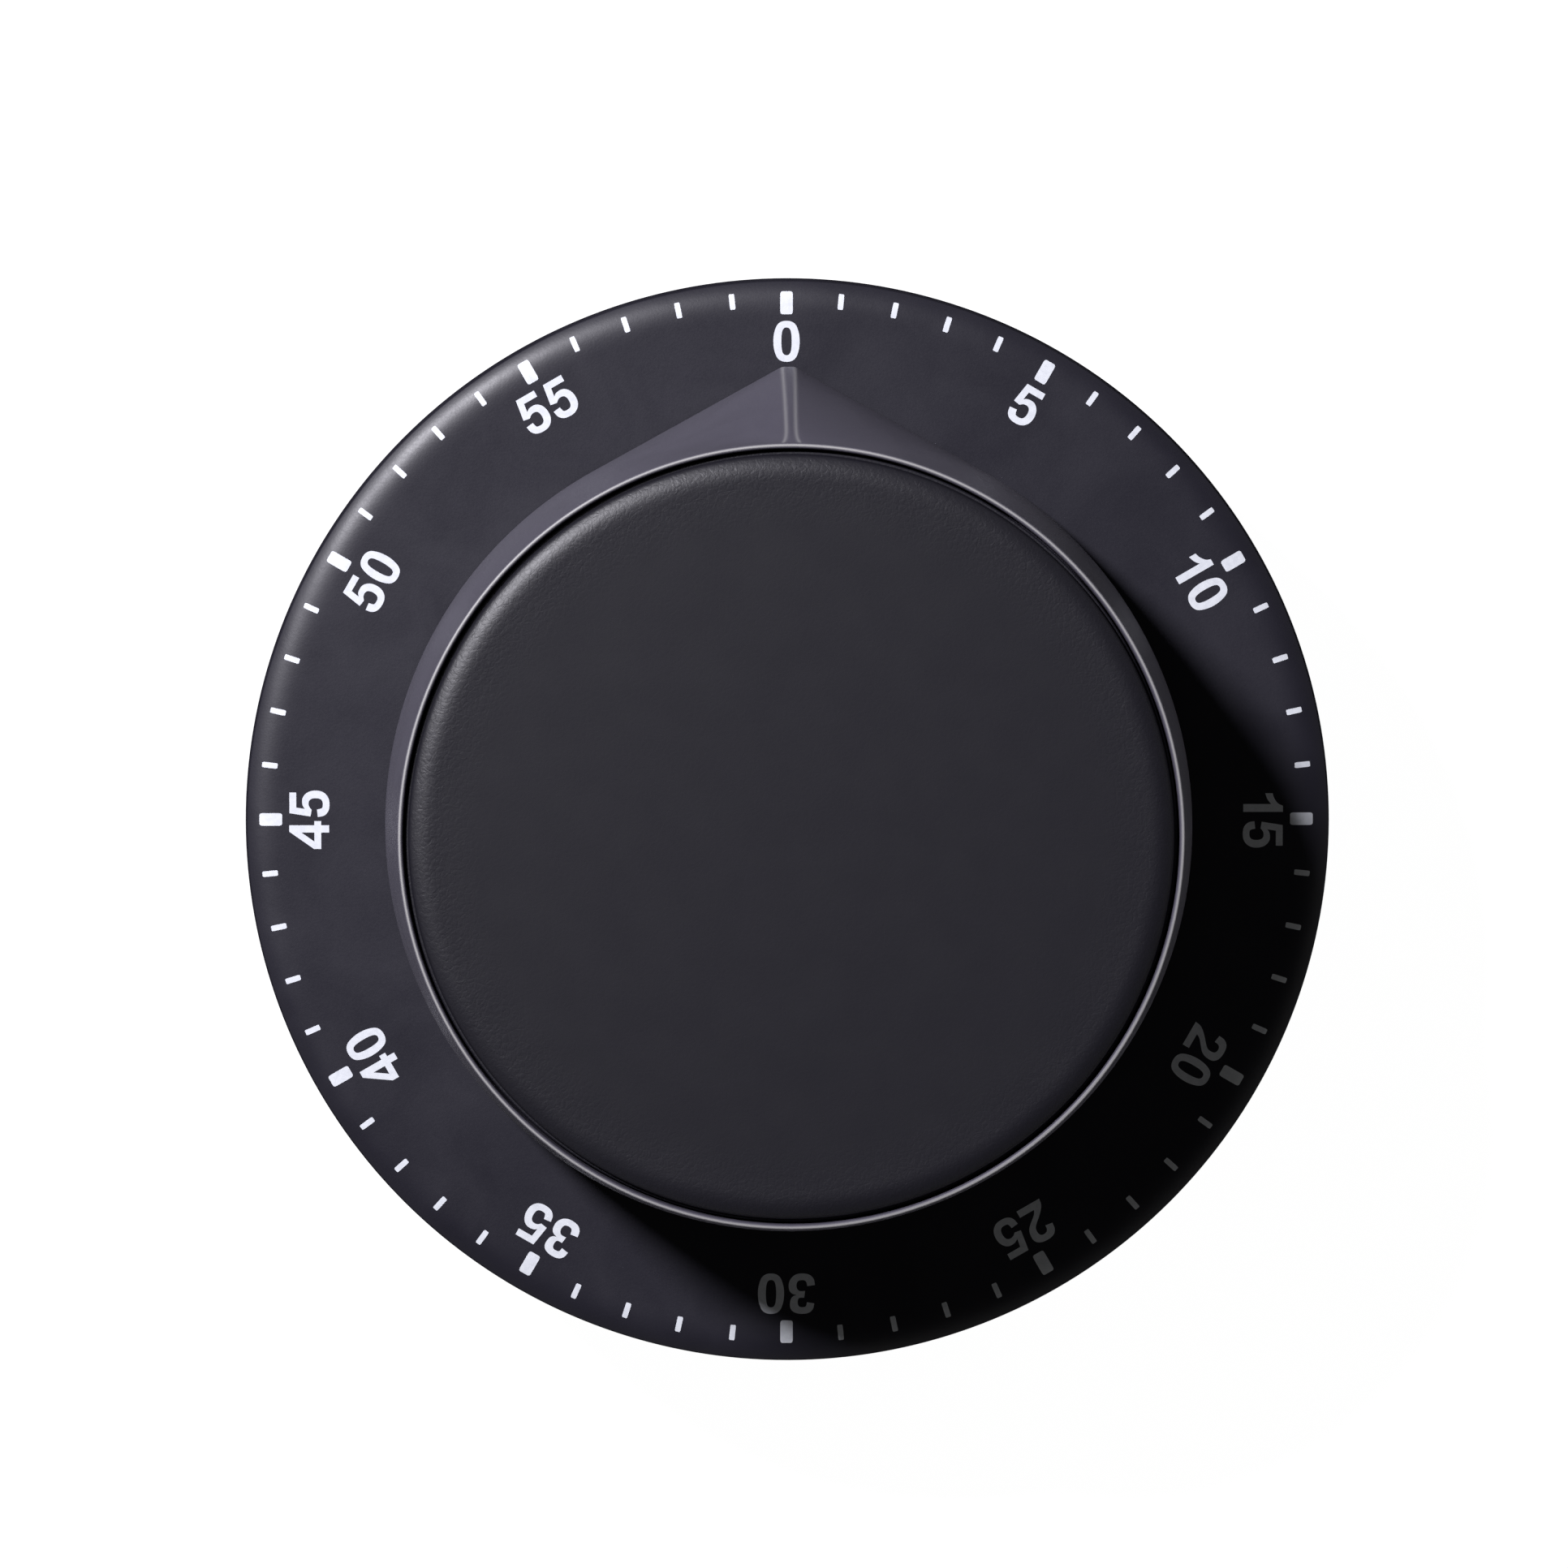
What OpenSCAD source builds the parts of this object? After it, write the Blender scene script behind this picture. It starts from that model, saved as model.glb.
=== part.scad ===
// Mechanical 60 minute kitchen timer, lying on its back: a round case with a printed dial,
// a large pointer knob, and a spring-driven movement that rings a bell.
// Millimetres. +Z points out of the dial, +Y to the 0 mark and +X to the 15 mark.
// The origin is the centre of the foot ring's lower face.

/* [Case] */
// Outer diameter of the case
case_d = 78; // [77:1:110]
// Thickness of the case's side wall
wall = 2.2; // [1.6:0.1:2.6]
// Thickness of the dial
dial_t = 2.2; // [2:0.1:2.4]
// Radius of the rounded edge between the dial and the side wall
rim_r = 2; // [0.5:0.1:2.2]
// Diameter of the hole in the dial that the main arbor passes through
dial_hole_d = 8; // [6:0.5:12]

/* [Back] */
// Thickness of the back cover
cover_t = 2.2; // [2:0.1:2.6]
// Height that the rubber foot ring lifts the case
foot_lift = 0.6; // [0.4:0.1:1]
// Inner diameter of the rubber foot ring
foot_in_d = 54; // [52:1:56]
// Radial width of the rubber foot ring
foot_w = 3; // [2:0.5:3]
// Diameter of one magnet
magnet_d = 11; // [8:0.5:13]
// Thickness of one magnet
magnet_t = 1.8; // [1.4:0.1:2]
// Number of magnets
magnet_n = 3; // [2:1:4]
// Width of one sound slot
slot_w = 1.6; // [1:0.1:2]

/* [Knob] */
// Diameter of the round part of the knob at its foot
knob_d = 57.6; // [44:0.2:66]
// How much the knob's radius narrows from its foot to its top
knob_taper = 1.4; // [0.4:0.1:3]
// Height of the knob from its foot to the top of its lip
knob_h = 16.4; // [14:0.2:22]
// How far the pointer's tip stands out from the round part of the knob
pointer_out = 3.85; // [3:0.05:5]
// Width of the pointer's edge
pointer_w = 1.2; // [0.6:0.1:3]
// Gap between the dial and the knob
knob_gap = 0.6; // [0.4:0.1:1]
// Width of the thin lip round the cap
lip_w = 0.45; // [0.3:0.05:1]
// Thickness of the cap
cap_t = 3.2; // [2.4:0.1:4]
// Height of the cap's top above the lip
cap_rise = 0.6; // [0:0.1:1]
// Radius of the cap's rounded edge
cap_edge_r = 0.9; // [0.5:0.1:2]

/* [Movement] */
// Diameter of the two plates
plate_d = 53; // [53:1:58]
// Thickness of each plate
plate_t = 1; // [0.8:0.1:1.2]
// Distance between the plates
plate_gap = 6.2; // [6.2:0.1:9]
// Outer diameter of the wound mainspring
spring_d = 22.6; // [18:0.2:23]
// Number of turns of the mainspring
spring_turns = 7; // [4:1:8]
// Thickness of the mainspring strip
spring_t = 0.35; // [0.2:0.05:0.4]
// Height of the space for the bell between the cover and the movement
bell_room = 6.6; // [6:0.1:10]
// Outer diameter of the bell
bell_d = 28; // [26:0.5:34]
// Thickness of the bell's metal
bell_t = 0.65; // [0.4:0.05:1]

/* [Gear train] */
// Teeth of the great wheel on the main arbor
great_teeth = 60; // [60:10:60]
// Teeth of the second and third wheels
wheel_teeth = 56; // [56:8:56]
// Leaves of the pinion that the great wheel drives
second_leaves = 10; // [10:1:10]
// Leaves of the third and escape pinions
small_leaves = 8; // [8:1:8]
// Teeth of the escape wheel
escape_teeth = 15; // [15:1:15]
// Module of the great wheel and its pinion
great_m = 0.5; // [0.48:0.01:0.52]
// Module of the second wheel and its pinion
second_m = 0.35; // [0.33:0.01:0.36]
// Module of the third wheel and its pinion
third_m = 0.28; // [0.26:0.01:0.29]
// Diameter of the escape wheel
escape_d = 8.4; // [8:0.1:8.6]

/* [Clearances] */
// Radial clearance of a shaft or pivot that turns in its hole
run = 0.04; // [0.02:0.01:0.08]
// Radial clearance of a pressed, screwed or pinned fit
seat = 0.02; // [0.01:0.01:0.05]
// Radial clearance of the back cover, the cap and the magnets in their seats
slip = 0.1; // [0.05:0.05:0.3]

/* [Hidden] */
$fn = 96;
eps = 0.01;

// Case, back and screws
case_r = case_d / 2;
inner_r = case_r - wall;
z_cover = foot_lift;
z_cover_top = z_cover + cover_t;
boss_l = 1.2;
z_back = z_cover_top + bell_room;
z_back_top = z_back + plate_t;
z_front = z_back_top + plate_gap;
z_front_top = z_front + plate_t;
z_ceiling = z_front_top + boss_l;
dial_h = z_ceiling + dial_t;
cover_post_r = 2.6;
cover_post_ring = inner_r - 3.6;
cover_post_angles = [80, 200, 320];
cover_screw_r = 1.1;
cover_screw_l = 8;
cover_head_r = 2.3;
cover_head_t = 1;
foot_groove = 0.4;
magnet_ring = 19;

// Movement plates, hung from three bosses under the dial
boss_r = 3;
boss_ring = inner_r - 5.8;
boss_angles = [20, 140, 260];
mount_screw_r = 0.9;
plate_r = plate_d / 2;
pillar_r = 1.5;
pillar_ring = 24.6;
pillar_angles = [10, 90, 172, 315];
pillar_tenon_r = 1;
pillar_screw_r = 0.7;
pivot_r = 0.5;

// Heights of the parts between the plates, down from the front plate or up from the back plate
z_great = z_front - 1.7;
great_t = 0.7;
z_second = z_front - 0.65;
train_t = 0.4;
z_third = z_back_top + 2.2;
z_escape = z_back_top + 3.6;
z_star = z_back_top + 0.9;
z_cam = z_front - 0.7;
cam_t = 0.5;
z_lever = z_back_top + 2.8;
lever_t = 0.5;

// Main arbor
arbor_r = 2;
core_r = 2.6;
spring_core_gap = 0.25;
lower_pivot_r = 1.2;
cam_r = 6.2;
cam_notch_r = 5.4;
flat_depth = 0.5;
hub_r = 5;
hub_top = 7.8;
knob_floor_t = 2;
knob_screw_r = 0.9;
z_knob = dial_h + knob_gap;
z_hub_top = z_knob + hub_top;
z_arbor_top = z_hub_top - 0.4;
z_lip = z_knob + knob_h;
knob_r = knob_d / 2;
knob_top_r = knob_r - knob_taper;
pointer_l = knob_r + pointer_out;
knob_land = 0.6;
cap_seat_r = knob_top_r - lip_w;
cap_groove = 0.35;
cap_r = cap_seat_r - cap_groove;
cap_skirt_l = 2;
knob_bore_r = cap_r - 2.1;
z_cap = z_lip + cap_rise - cap_t;

// Stop: the arm and the pin leave 352 degrees of travel
stop_ring = 13;
stop_angle = 45;
stop_blocked = 4;
stop_pin_r = 0.45;
stop_arm_w = 0.8;
stop_arm_t = 0.5;
z_stop = z_front_top + 0.3;

// Places of the train's arbors, chained by their centre distances
great_pitch_r = great_teeth * great_m / 2;
great_reach = great_m * (great_teeth + second_leaves) / 2;
second_reach = second_m * (wheel_teeth + small_leaves) / 2;
third_reach = third_m * (wheel_teeth + small_leaves) / 2;
second_angle = 200;
third_ring = 21.5;
escape_ring = 19;
balance_ring = 19;
balance_reach = 6.6;
second_at = polar(great_reach, second_angle);
third_angle = second_angle + corner(great_reach, third_ring, second_reach);
third_at = polar(third_ring, third_angle);
escape_angle = third_angle + corner(third_ring, escape_ring, third_reach);
escape_at = polar(escape_ring, escape_angle);
balance_angle = escape_angle + corner(escape_ring, balance_ring, balance_reach);
balance_at = polar(balance_ring, balance_angle);
addendum = 1.3;
root_gap = 0.3;
leaf_half = 0.525;

// Escapement
escape_r = escape_d / 2;
pallet_pin_r = 0.2;
pallet_gap = 0.08;
pallet_half_span = 30;
pallet_ring = escape_r + pallet_pin_r + pallet_gap;
to_balance = heading(escape_at, balance_at);
pallet_at = [for (s = [-1, 1]) escape_at + polar(pallet_ring, to_balance + s * pallet_half_span)];
tooth_offset = 90 / escape_teeth;
weight_reach = 6;
weight_r = 2;
weight_t = 1.6;

// Bell and hammer
bell_r = bell_d / 2;
bell_at = polar(7.5, 150);
bell_rim_gap = 1.2;
bell_under_gap = 1.2;
bell_depth = bell_room - bell_rim_gap - bell_under_gap;
bell_wall_h = 2.6;
bell_post_r = 1.6;
bell_screw_r = 1;
bell_head_t = 0.8;
z_rim = z_back - bell_rim_gap;
z_bell = z_rim - bell_depth;
hammer_at = polar(18, 158);
hammer_r = 0.8;
hammer_arm_l = 9;
hammer_arm_w = 1.8;
hammer_arm_t = 0.6;
head_r = 1.8;
head_l = 1.9;
head_gap = 0.3;
z_arm = z_back - 0.9;
bell_side = norm(hammer_at - bell_at);
head_orbit = bell_r - bell_t - head_gap - head_r;
head_angle = heading(hammer_at, bell_at) - corner(bell_side, hammer_arm_l, head_orbit);
head_at = hammer_at + polar(hammer_arm_l, head_angle);
follower_ring = cam_r + 0.5;
follower_r = 0.5;
pallet_w = 1;
follower_angle = 158 - acos((follower_ring + follower_r) / norm(hammer_at));
follower_at = polar(follower_ring + follower_r, follower_angle);
star_points = 12;
star_r = 3.9;
star_t = 0.8;
star_gap = 0.35;

function polar(r, a) = [r * cos(a), r * sin(a)];
// Angle at the corner between sides a and b of a triangle whose third side is c
function corner(a, b, c) = acos((a * a + b * b - c * c) / (2 * a * b));
// Direction of q as seen from p
function heading(p, q) = atan2(q[1] - p[1], q[0] - p[0]);
// Epicycloid tooth flank as [radius, angle] from the pitch circle to the tip
function flank(pitch, rolling, tip) = [
  for (i = [0 : 2])
    let (
      rad = pitch + (tip - pitch) * i / 2,
      sum = pitch + rolling,
      swing = acos(min(1, (sum * sum + rolling * rolling - rad * rad) / (2 * sum * rolling))),
      turn = swing * rolling / pitch,
      p = polar(sum, turn) - polar(rolling, turn + swing)
    )
    [rad, atan2(p[1], p[0])]
];

// Moves its children to a point of the plan and a height
module at(place, z = 0) {
  translate([place[0], place[1], z]) children();
}

// Puts its children at each angle on a ring
module ring_of(angles, r) {
  for (a = angles) rotate(a) translate([r, 0, 0]) children();
}

// Round bar with straight sides between two points of the plan
module link(p, q, w) {
  at(p) circle(d = w);
  at(q) circle(d = w);
  at(p) rotate(heading(p, q)) translate([0, -w / 2]) square([norm(q - p), w]);
}

// Pan-head screw: head below z = 0 and shank above it
module screw(shank_r, shank_l, head_r, head_t) {
  difference() {
    translate([0, 0, -head_t]) cylinder(r = head_r, h = head_t);
    translate([-head_r, -0.3, -head_t - eps]) cube([2 * head_r, 0.6, head_t / 2]);
  }
  cylinder(r = shank_r, h = shank_l);
}

// Clock wheel with one tooth centred on the X axis
module wheel_outline(teeth, m, leaves) {
  pitch = teeth * m / 2;
  side = flank(pitch, leaves * m / 4, pitch + addendum * m);
  half = 90 / teeth;
  root = pitch - m;
  polygon([
    for (k = [0 : teeth - 1])
      each concat(
        [polar(root, k * 4 * half - half)],
        [for (i = [0 : 2]) polar(side[i][0], k * 4 * half - half + side[i][1])],
        [for (i = [2 : -1 : 0]) polar(side[i][0], k * 4 * half + half - side[i][1])],
        [polar(root, k * 4 * half + half)]
      )
  ]);
}

// Clock pinion with one gap centred on the X axis: radial flanks and round leaf tips
module pinion_outline(leaves, m) {
  pitch = leaves * m / 2;
  half = leaf_half * m;
  root = pitch - (addendum + root_gap) * m;
  spread = asin(half / pitch);
  polygon([
    for (k = [0 : leaves - 1])
      let (c = (k + 0.5) * 360 / leaves)
      each concat(
        [polar(root, c - spread)],
        [for (s = [0 : 45 : 180]) polar(pitch, c) + polar(half, c - 90 + s)],
        [polar(root, c + spread)]
      )
  ]);
}

// Flat toothed wheel with round windows and a bore
module wheel(teeth, m, leaves, t, bore_r, windows) {
  pitch = teeth * m / 2;
  window_r = pitch * 0.24;
  linear_extrude(t) difference() {
    wheel_outline(teeth, m, leaves);
    circle(r = bore_r);
    ring_of([for (k = [0 : windows - 1]) (k + 0.5) * 360 / windows], pitch * 0.58) circle(r = window_r);
  }
}

// Train arbor with a pivot at each end, running in both plates
module train_arbor(r) {
  translate([0, 0, z_back_top + 0.15]) cylinder(r = r, h = plate_gap - 0.3);
  translate([0, 0, z_back + 0.1]) cylinder(r = pivot_r, h = plate_gap + 2 * plate_t - 0.2);
}

module dial_housing() {
  color("#26252b") difference() {
    union() {
      difference() {
        translate([0, 0, z_cover]) rotate_extrude() {
          square([case_r, dial_h - z_cover - rim_r]);
          square([case_r - rim_r, dial_h - z_cover]);
          translate([case_r - rim_r, dial_h - z_cover - rim_r]) intersection() {
            circle(r = rim_r);
            square(rim_r);
          }
        }
        translate([0, 0, z_cover - 1]) cylinder(r = inner_r, h = z_ceiling - z_cover + 1);
      }
      ring_of(boss_angles, boss_ring) translate([0, 0, z_front_top]) cylinder(r = boss_r, h = boss_l + 0.5);
      ring_of(cover_post_angles, cover_post_ring)
        translate([0, 0, z_cover_top]) cylinder(r = cover_post_r, h = z_ceiling - z_cover_top + 0.5);
    }
    translate([0, 0, z_ceiling - 1]) cylinder(d = dial_hole_d, h = dial_t + 2);
    ring_of(boss_angles, boss_ring)
      translate([0, 0, z_front_top - 1]) cylinder(r = mount_screw_r + seat, h = boss_l + 2.3);
    ring_of(cover_post_angles, cover_post_ring)
      translate([0, 0, z_cover_top - 1]) cylinder(r = cover_screw_r + seat, h = cover_screw_l + 1);
  }
}

module back_cover() {
  slots = [-3 : 3];
  slot_pitch = slot_w * 1.9;
  color("#222226") translate([0, 0, z_cover]) difference() {
    cylinder(r = inner_r - slip, h = cover_t);
    for (i = slots)
      let (half = sqrt(121 - pow(i * slot_pitch, 2)) - slot_w / 2)
      translate([0, i * slot_pitch, -1])
        linear_extrude(cover_t + 2) link([-half, 0], [half, 0], slot_w);
    translate([0, 0, -eps]) difference() {
      cylinder(r = foot_in_d / 2 + foot_w + seat, h = foot_groove + eps);
      translate([0, 0, -1]) cylinder(r = foot_in_d / 2 - seat, h = foot_groove + 2);
    }
    magnet_places() translate([0, 0, -1]) cylinder(d = magnet_d + 2 * slip, h = magnet_t - 0.2 + 1);
    ring_of(cover_post_angles, cover_post_ring) {
      translate([0, 0, -1]) cylinder(r = cover_screw_r + 0.15, h = cover_t + 2);
      translate([0, 0, -1]) cylinder(r = cover_head_r + 0.2, h = cover_head_t + 0.2 + 1);
    }
  }
}

module rubber_ring() {
  color("#3a3a3a") difference() {
    cylinder(d = foot_in_d + 2 * foot_w, h = foot_lift + foot_groove);
    translate([0, 0, -1]) cylinder(d = foot_in_d, h = foot_lift + foot_groove + 2);
  }
}

module magnet_places() {
  ring_of([for (k = [0 : magnet_n - 1]) 50 + k * 360 / magnet_n], magnet_ring) children();
}

module magnets() {
  color("silver") magnet_places() translate([0, 0, z_cover - 0.2]) cylinder(d = magnet_d, h = magnet_t);
}

module cover_screws() {
  color("silver") ring_of(cover_post_angles, cover_post_ring)
    translate([0, 0, z_cover + cover_head_t + 0.2]) screw(cover_screw_r, cover_screw_l, cover_head_r, cover_head_t);
}

// Ring of felt glued to the dial, under the knob
module felt_washer() {
  color("#15151a") translate([0, 0, dial_h]) difference() {
    cylinder(r = 14, h = knob_gap - 0.1);
    translate([0, 0, -1]) cylinder(r = 8, h = knob_gap + 2);
  }
}

// Pivot holes of the train, the balance and the hammer
module pivot_holes() {
  for (p = [second_at, third_at, escape_at, balance_at]) at(p) circle(r = pivot_r + run);
}

module front_plate() {
  color("#c9b26a") translate([0, 0, z_front]) linear_extrude(plate_t) difference() {
    union() {
      circle(r = plate_r);
      ring_of(boss_angles, 0) link([0, 0], [boss_ring, 0], 2 * boss_r);
    }
    circle(r = arbor_r + run);
    pivot_holes();
    at(hammer_at) circle(r = pivot_r + run);
    ring_of(boss_angles, boss_ring) circle(r = mount_screw_r + 0.15);
    ring_of(pillar_angles, pillar_ring) circle(r = pillar_screw_r + 0.15);
    rotate(stop_angle) translate([stop_ring, 0]) circle(r = stop_pin_r + seat);
    ring_of([50, 110, 350], 17) circle(r = 2.6);
  }
}

module back_plate() {
  color("#c9b26a") translate([0, 0, z_back]) linear_extrude(plate_t) difference() {
    circle(r = plate_r);
    circle(r = lower_pivot_r + run);
    pivot_holes();
    at(hammer_at) circle(r = hammer_r + run);
    ring_of(pillar_angles, pillar_ring) circle(r = pillar_tenon_r + seat);
    at(bell_at) circle(r = bell_screw_r + seat);
    at(spring_post_at) circle(r = spring_post_r + seat);
    ring_of([30, 60], 19) circle(r = 2.6);
  }
}

module pillars() {
  color("#d8d8d8") ring_of(pillar_angles, pillar_ring) difference() {
    union() {
      translate([0, 0, z_back_top]) cylinder(r = pillar_r, h = plate_gap);
      translate([0, 0, z_back]) cylinder(r = pillar_tenon_r, h = plate_t + eps);
    }
    translate([0, 0, z_front - 2.5]) cylinder(r = pillar_screw_r + seat, h = 3);
  }
}

module pillar_screws() {
  color("silver") ring_of(pillar_angles, pillar_ring)
    translate([0, 0, z_front_top]) mirror([0, 0, 1]) screw(pillar_screw_r, plate_t + 2, 1.6, 0.8);
}

module movement_screws() {
  color("silver") ring_of(boss_angles, boss_ring)
    translate([0, 0, z_front]) screw(mount_screw_r, plate_t + boss_l + 0.9, 2, 0.9);
}

module stop_pin() {
  color("silver") rotate(stop_angle) translate([stop_ring, 0, z_front]) cylinder(r = stop_pin_r, h = plate_t + 0.95);
}

spring_in_r = core_r + spring_core_gap;
spring_out_r = spring_d / 2 - spring_t;
spring_post_r = 0.7;
spring_angle = 45;
spring_post_at = polar(spring_out_r + spring_t + spring_post_r + 0.1, spring_angle);

// Flat spiral strip, hooked round the fixed post at its outer end
module mainspring() {
  step = 12;
  last = spring_turns * 360;
  coil = [for (a = [0 : step : last]) spring_in_r + (spring_out_r - spring_in_r) * a / last];
  inner = [for (i = [0 : len(coil) - 1]) polar(coil[i], i * step + spring_angle)];
  outer = [for (i = [len(coil) - 1 : -1 : 0]) polar(coil[i] + spring_t, i * step + spring_angle)];
  strip_w = z_great - z_back_top - 1.2;
  color("#8f97a0") translate([0, 0, z_back_top + 0.4]) difference() {
    union() {
      linear_extrude(strip_w) polygon(concat(inner, outer));
      at(spring_post_at) cylinder(r = spring_post_r + 0.35, h = strip_w);
    }
    at(spring_post_at, -1) cylinder(r = spring_post_r + seat, h = strip_w + 2);
  }
}

module spring_post() {
  color("silver") at(spring_post_at, z_back) cylinder(r = spring_post_r, h = z_great - z_back - 0.3);
}

// Turned-over cup: floor, rounded corner and straight wall
module bell() {
  corner_r = bell_depth - bell_wall_h;
  color("#b9bcc0") at(bell_at, z_bell) rotate_extrude() difference() {
    union() {
      square([bell_r - corner_r, bell_depth]);
      translate([0, corner_r]) square([bell_r, bell_wall_h]);
      translate([bell_r - corner_r, corner_r]) circle(r = corner_r);
    }
    translate([-bell_r * 2, -1]) square([bell_r * 2, bell_depth + 2]);
    translate([-1, bell_t]) square([bell_r - corner_r + 1, bell_depth]);
    translate([-1, corner_r]) square([bell_r - bell_t + 1, bell_depth]);
    translate([bell_r - corner_r, corner_r]) circle(r = corner_r - bell_t);
    translate([-1, -1]) square([bell_screw_r + run + 1, bell_depth]);
  }
}

module bell_post() {
  color("silver") at(bell_at) difference() {
    union() {
      translate([0, 0, z_bell + bell_t]) cylinder(r = bell_post_r, h = z_back - z_bell - bell_t);
      translate([0, 0, z_back - eps]) cylinder(r = bell_screw_r, h = plate_t + eps);
    }
    translate([0, 0, z_bell + bell_t - 1]) cylinder(r = 0.8 + seat, h = 4);
  }
}

module bell_screw() {
  color("silver") at(bell_at, z_bell) screw(0.8, bell_t + 2.5, 2.3, bell_head_t);
}

// Wire spring round the hammer arbor, with one leg to a pillar and one behind the tail
module hammer_spring() {
  wire = 0.25;
  coil_r = hammer_r + 0.3 + wire;
  z_coil = z_back_top + 2.6;
  pillar_at = polar(pillar_ring, pillar_angles[2]);
  leg_a = heading(hammer_at, pillar_at);
  color("#9aa0a6") {
    at(hammer_at, z_coil) rotate_extrude() for (i = [0 : 3]) translate([coil_r, i * wire * 1.8]) circle(r = wire);
    at(hammer_at, z_coil) rotate(leg_a) translate([coil_r, 0, 0]) rotate([0, 90, 0])
      cylinder(r = wire, h = norm(pillar_at - hammer_at) - coil_r - pillar_r - 0.05);
    at(hammer_at, z_coil + 5.4 * wire) rotate(60) translate([coil_r, 0, 0]) rotate([0, 90, 0])
      cylinder(r = wire, h = 4);
  }
}

// Outer form of the knob: a drafted round body drawn out to a pointer at its foot
module knob_form() {
  hull() {
    cylinder(r = knob_r, h = knob_land);
    translate([-pointer_w / 2, pointer_l - 1, 0]) cube([pointer_w, 1, knob_land]);
    translate([0, 0, knob_h - 0.2]) cylinder(r = knob_top_r, h = 0.2);
  }
}

// Round shaft with a flat on its -Y side
module flatted(r, h) {
  difference() {
    cylinder(r = r, h = h);
    translate([-r, -r - 1, -1]) cube([2 * r, flat_depth + 1, h + 2]);
  }
}

module knob_shell() {
  color("#1f1e24") translate([0, 0, z_knob]) {
    difference() {
      knob_form();
      translate([0, 0, knob_floor_t]) cylinder(r = knob_bore_r, h = knob_h);
      translate([0, 0, z_cap - z_knob]) cylinder(r = cap_seat_r, h = knob_h);
      translate([0, 0, -1]) flatted(arbor_r + seat, knob_floor_t + 2);
    }
    difference() {
      translate([0, 0, knob_floor_t - eps]) cylinder(r = hub_r, h = hub_top - knob_floor_t + eps);
      translate([0, 0, -1]) flatted(arbor_r + seat, hub_top + 2);
    }
    for (a = [30 : 60 : 330])
      rotate(a) translate([hub_r - 0.3, -0.6, knob_floor_t - eps]) cube([knob_bore_r - hub_r + 0.6, 1.2, 4]);
  }
}

module knob_cap() {
  color("#201f26") translate([0, 0, z_cap]) rotate_extrude() difference() {
    union() {
      square([cap_r, cap_t - cap_edge_r]);
      square([cap_r - cap_edge_r, cap_t]);
      translate([cap_r - cap_edge_r, cap_t - cap_edge_r]) intersection() {
        circle(r = cap_edge_r);
        square(cap_edge_r);
      }
      translate([0, -cap_skirt_l]) square([knob_bore_r - slip, cap_skirt_l + eps]);
    }
    translate([-1, -cap_skirt_l - 1]) square([knob_bore_r - slip - 1.2 + 1, cap_skirt_l + 1 + cap_t - 1.6]);
    translate([-cap_r * 2, -cap_skirt_l - 1]) square([cap_r * 2, cap_t * 3]);
  }
}

module knob_screw() {
  color("silver") translate([0, 0, z_hub_top]) mirror([0, 0, 1]) screw(knob_screw_r, 4.4, 2.8, 1.6);
}

module main_arbor() {
  color("#c8ccd0") difference() {
    union() {
      translate([0, 0, z_back - 0.3]) cylinder(r = lower_pivot_r, h = plate_t + 0.5);
      translate([0, 0, z_back_top + 0.15]) cylinder(r = core_r, h = z_cam - z_back_top - 0.15);
      translate([0, 0, z_great - 0.5]) cylinder(r = core_r + 0.9, h = 0.5);
      translate([0, 0, z_cam - eps]) cylinder(r = arbor_r, h = z_knob - 0.5 - z_cam);
      translate([0, 0, z_knob - 0.6]) flatted(arbor_r, z_arbor_top - z_knob + 0.6);
    }
    translate([0, 0, z_arbor_top - 5]) cylinder(r = knob_screw_r + seat, h = 6);
  }
}

module great_wheel() {
  color("#c9a227") translate([0, 0, z_great]) rotate(second_angle)
    wheel(great_teeth, great_m, second_leaves, great_t, core_r + seat, 5);
}

// Dished washer that presses the great wheel against the arbor's shoulder
module clutch_spring() {
  z_lo = z_great + great_t;
  color("#9aa0a6") translate([0, 0, z_lo]) rotate_extrude() polygon([
    [core_r + seat, z_cam - z_lo], [core_r + seat, z_cam - z_lo - 0.15],
    [core_r + 2.6, 0], [core_r + 2.6, 0.15]
  ]);
}

// Cam whose notch lets the hammer fall at the 0 mark
module release_cam() {
  color("#c9a227") translate([0, 0, z_cam]) linear_extrude(cam_t) difference() {
    circle(r = cam_r);
    rotate(follower_angle) translate([cam_r + 0.6, 0]) circle(r = cam_r + 0.6 - cam_notch_r);
    circle(r = arbor_r + seat);
  }
}

module stop_arm() {
  color("silver") translate([0, 0, z_stop]) rotate(stop_angle - stop_blocked) linear_extrude(stop_arm_t) difference() {
    union() {
      circle(r = arbor_r + 1.6);
      translate([0, -stop_arm_w / 2]) square([stop_ring + 0.4, stop_arm_w]);
    }
    circle(r = arbor_r + seat);
  }
}

second_arbor_r = 0.9;
third_arbor_r = 0.7;
escape_arbor_r = 0.6;

module second_wheel() {
  color("#c9a227") at(second_at, z_second) rotate(heading(second_at, third_at))
    wheel(wheel_teeth, second_m, small_leaves, train_t, second_arbor_r + seat, 5);
}

module second_pinion() {
  color("#c8ccd0") at(second_at) {
    train_arbor(second_arbor_r);
    translate([0, 0, z_great - 0.2]) rotate(second_angle + 180)
      linear_extrude(great_t + 0.45) pinion_outline(second_leaves, great_m);
  }
}

// Pointed wheel whose teeth shake the hammer while the timer rings
module strike_star() {
  color("#c9a227") at(second_at, z_star) rotate(heading(second_at, hammer_at) + 180 / star_points)
    linear_extrude(star_t) difference() {
      polygon([
        for (k = [0 : star_points - 1])
          each [polar(star_r, k * 360 / star_points), polar(star_r - 1, (k + 0.5) * 360 / star_points)]
      ]);
      circle(r = second_arbor_r + seat);
    }
}

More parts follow.
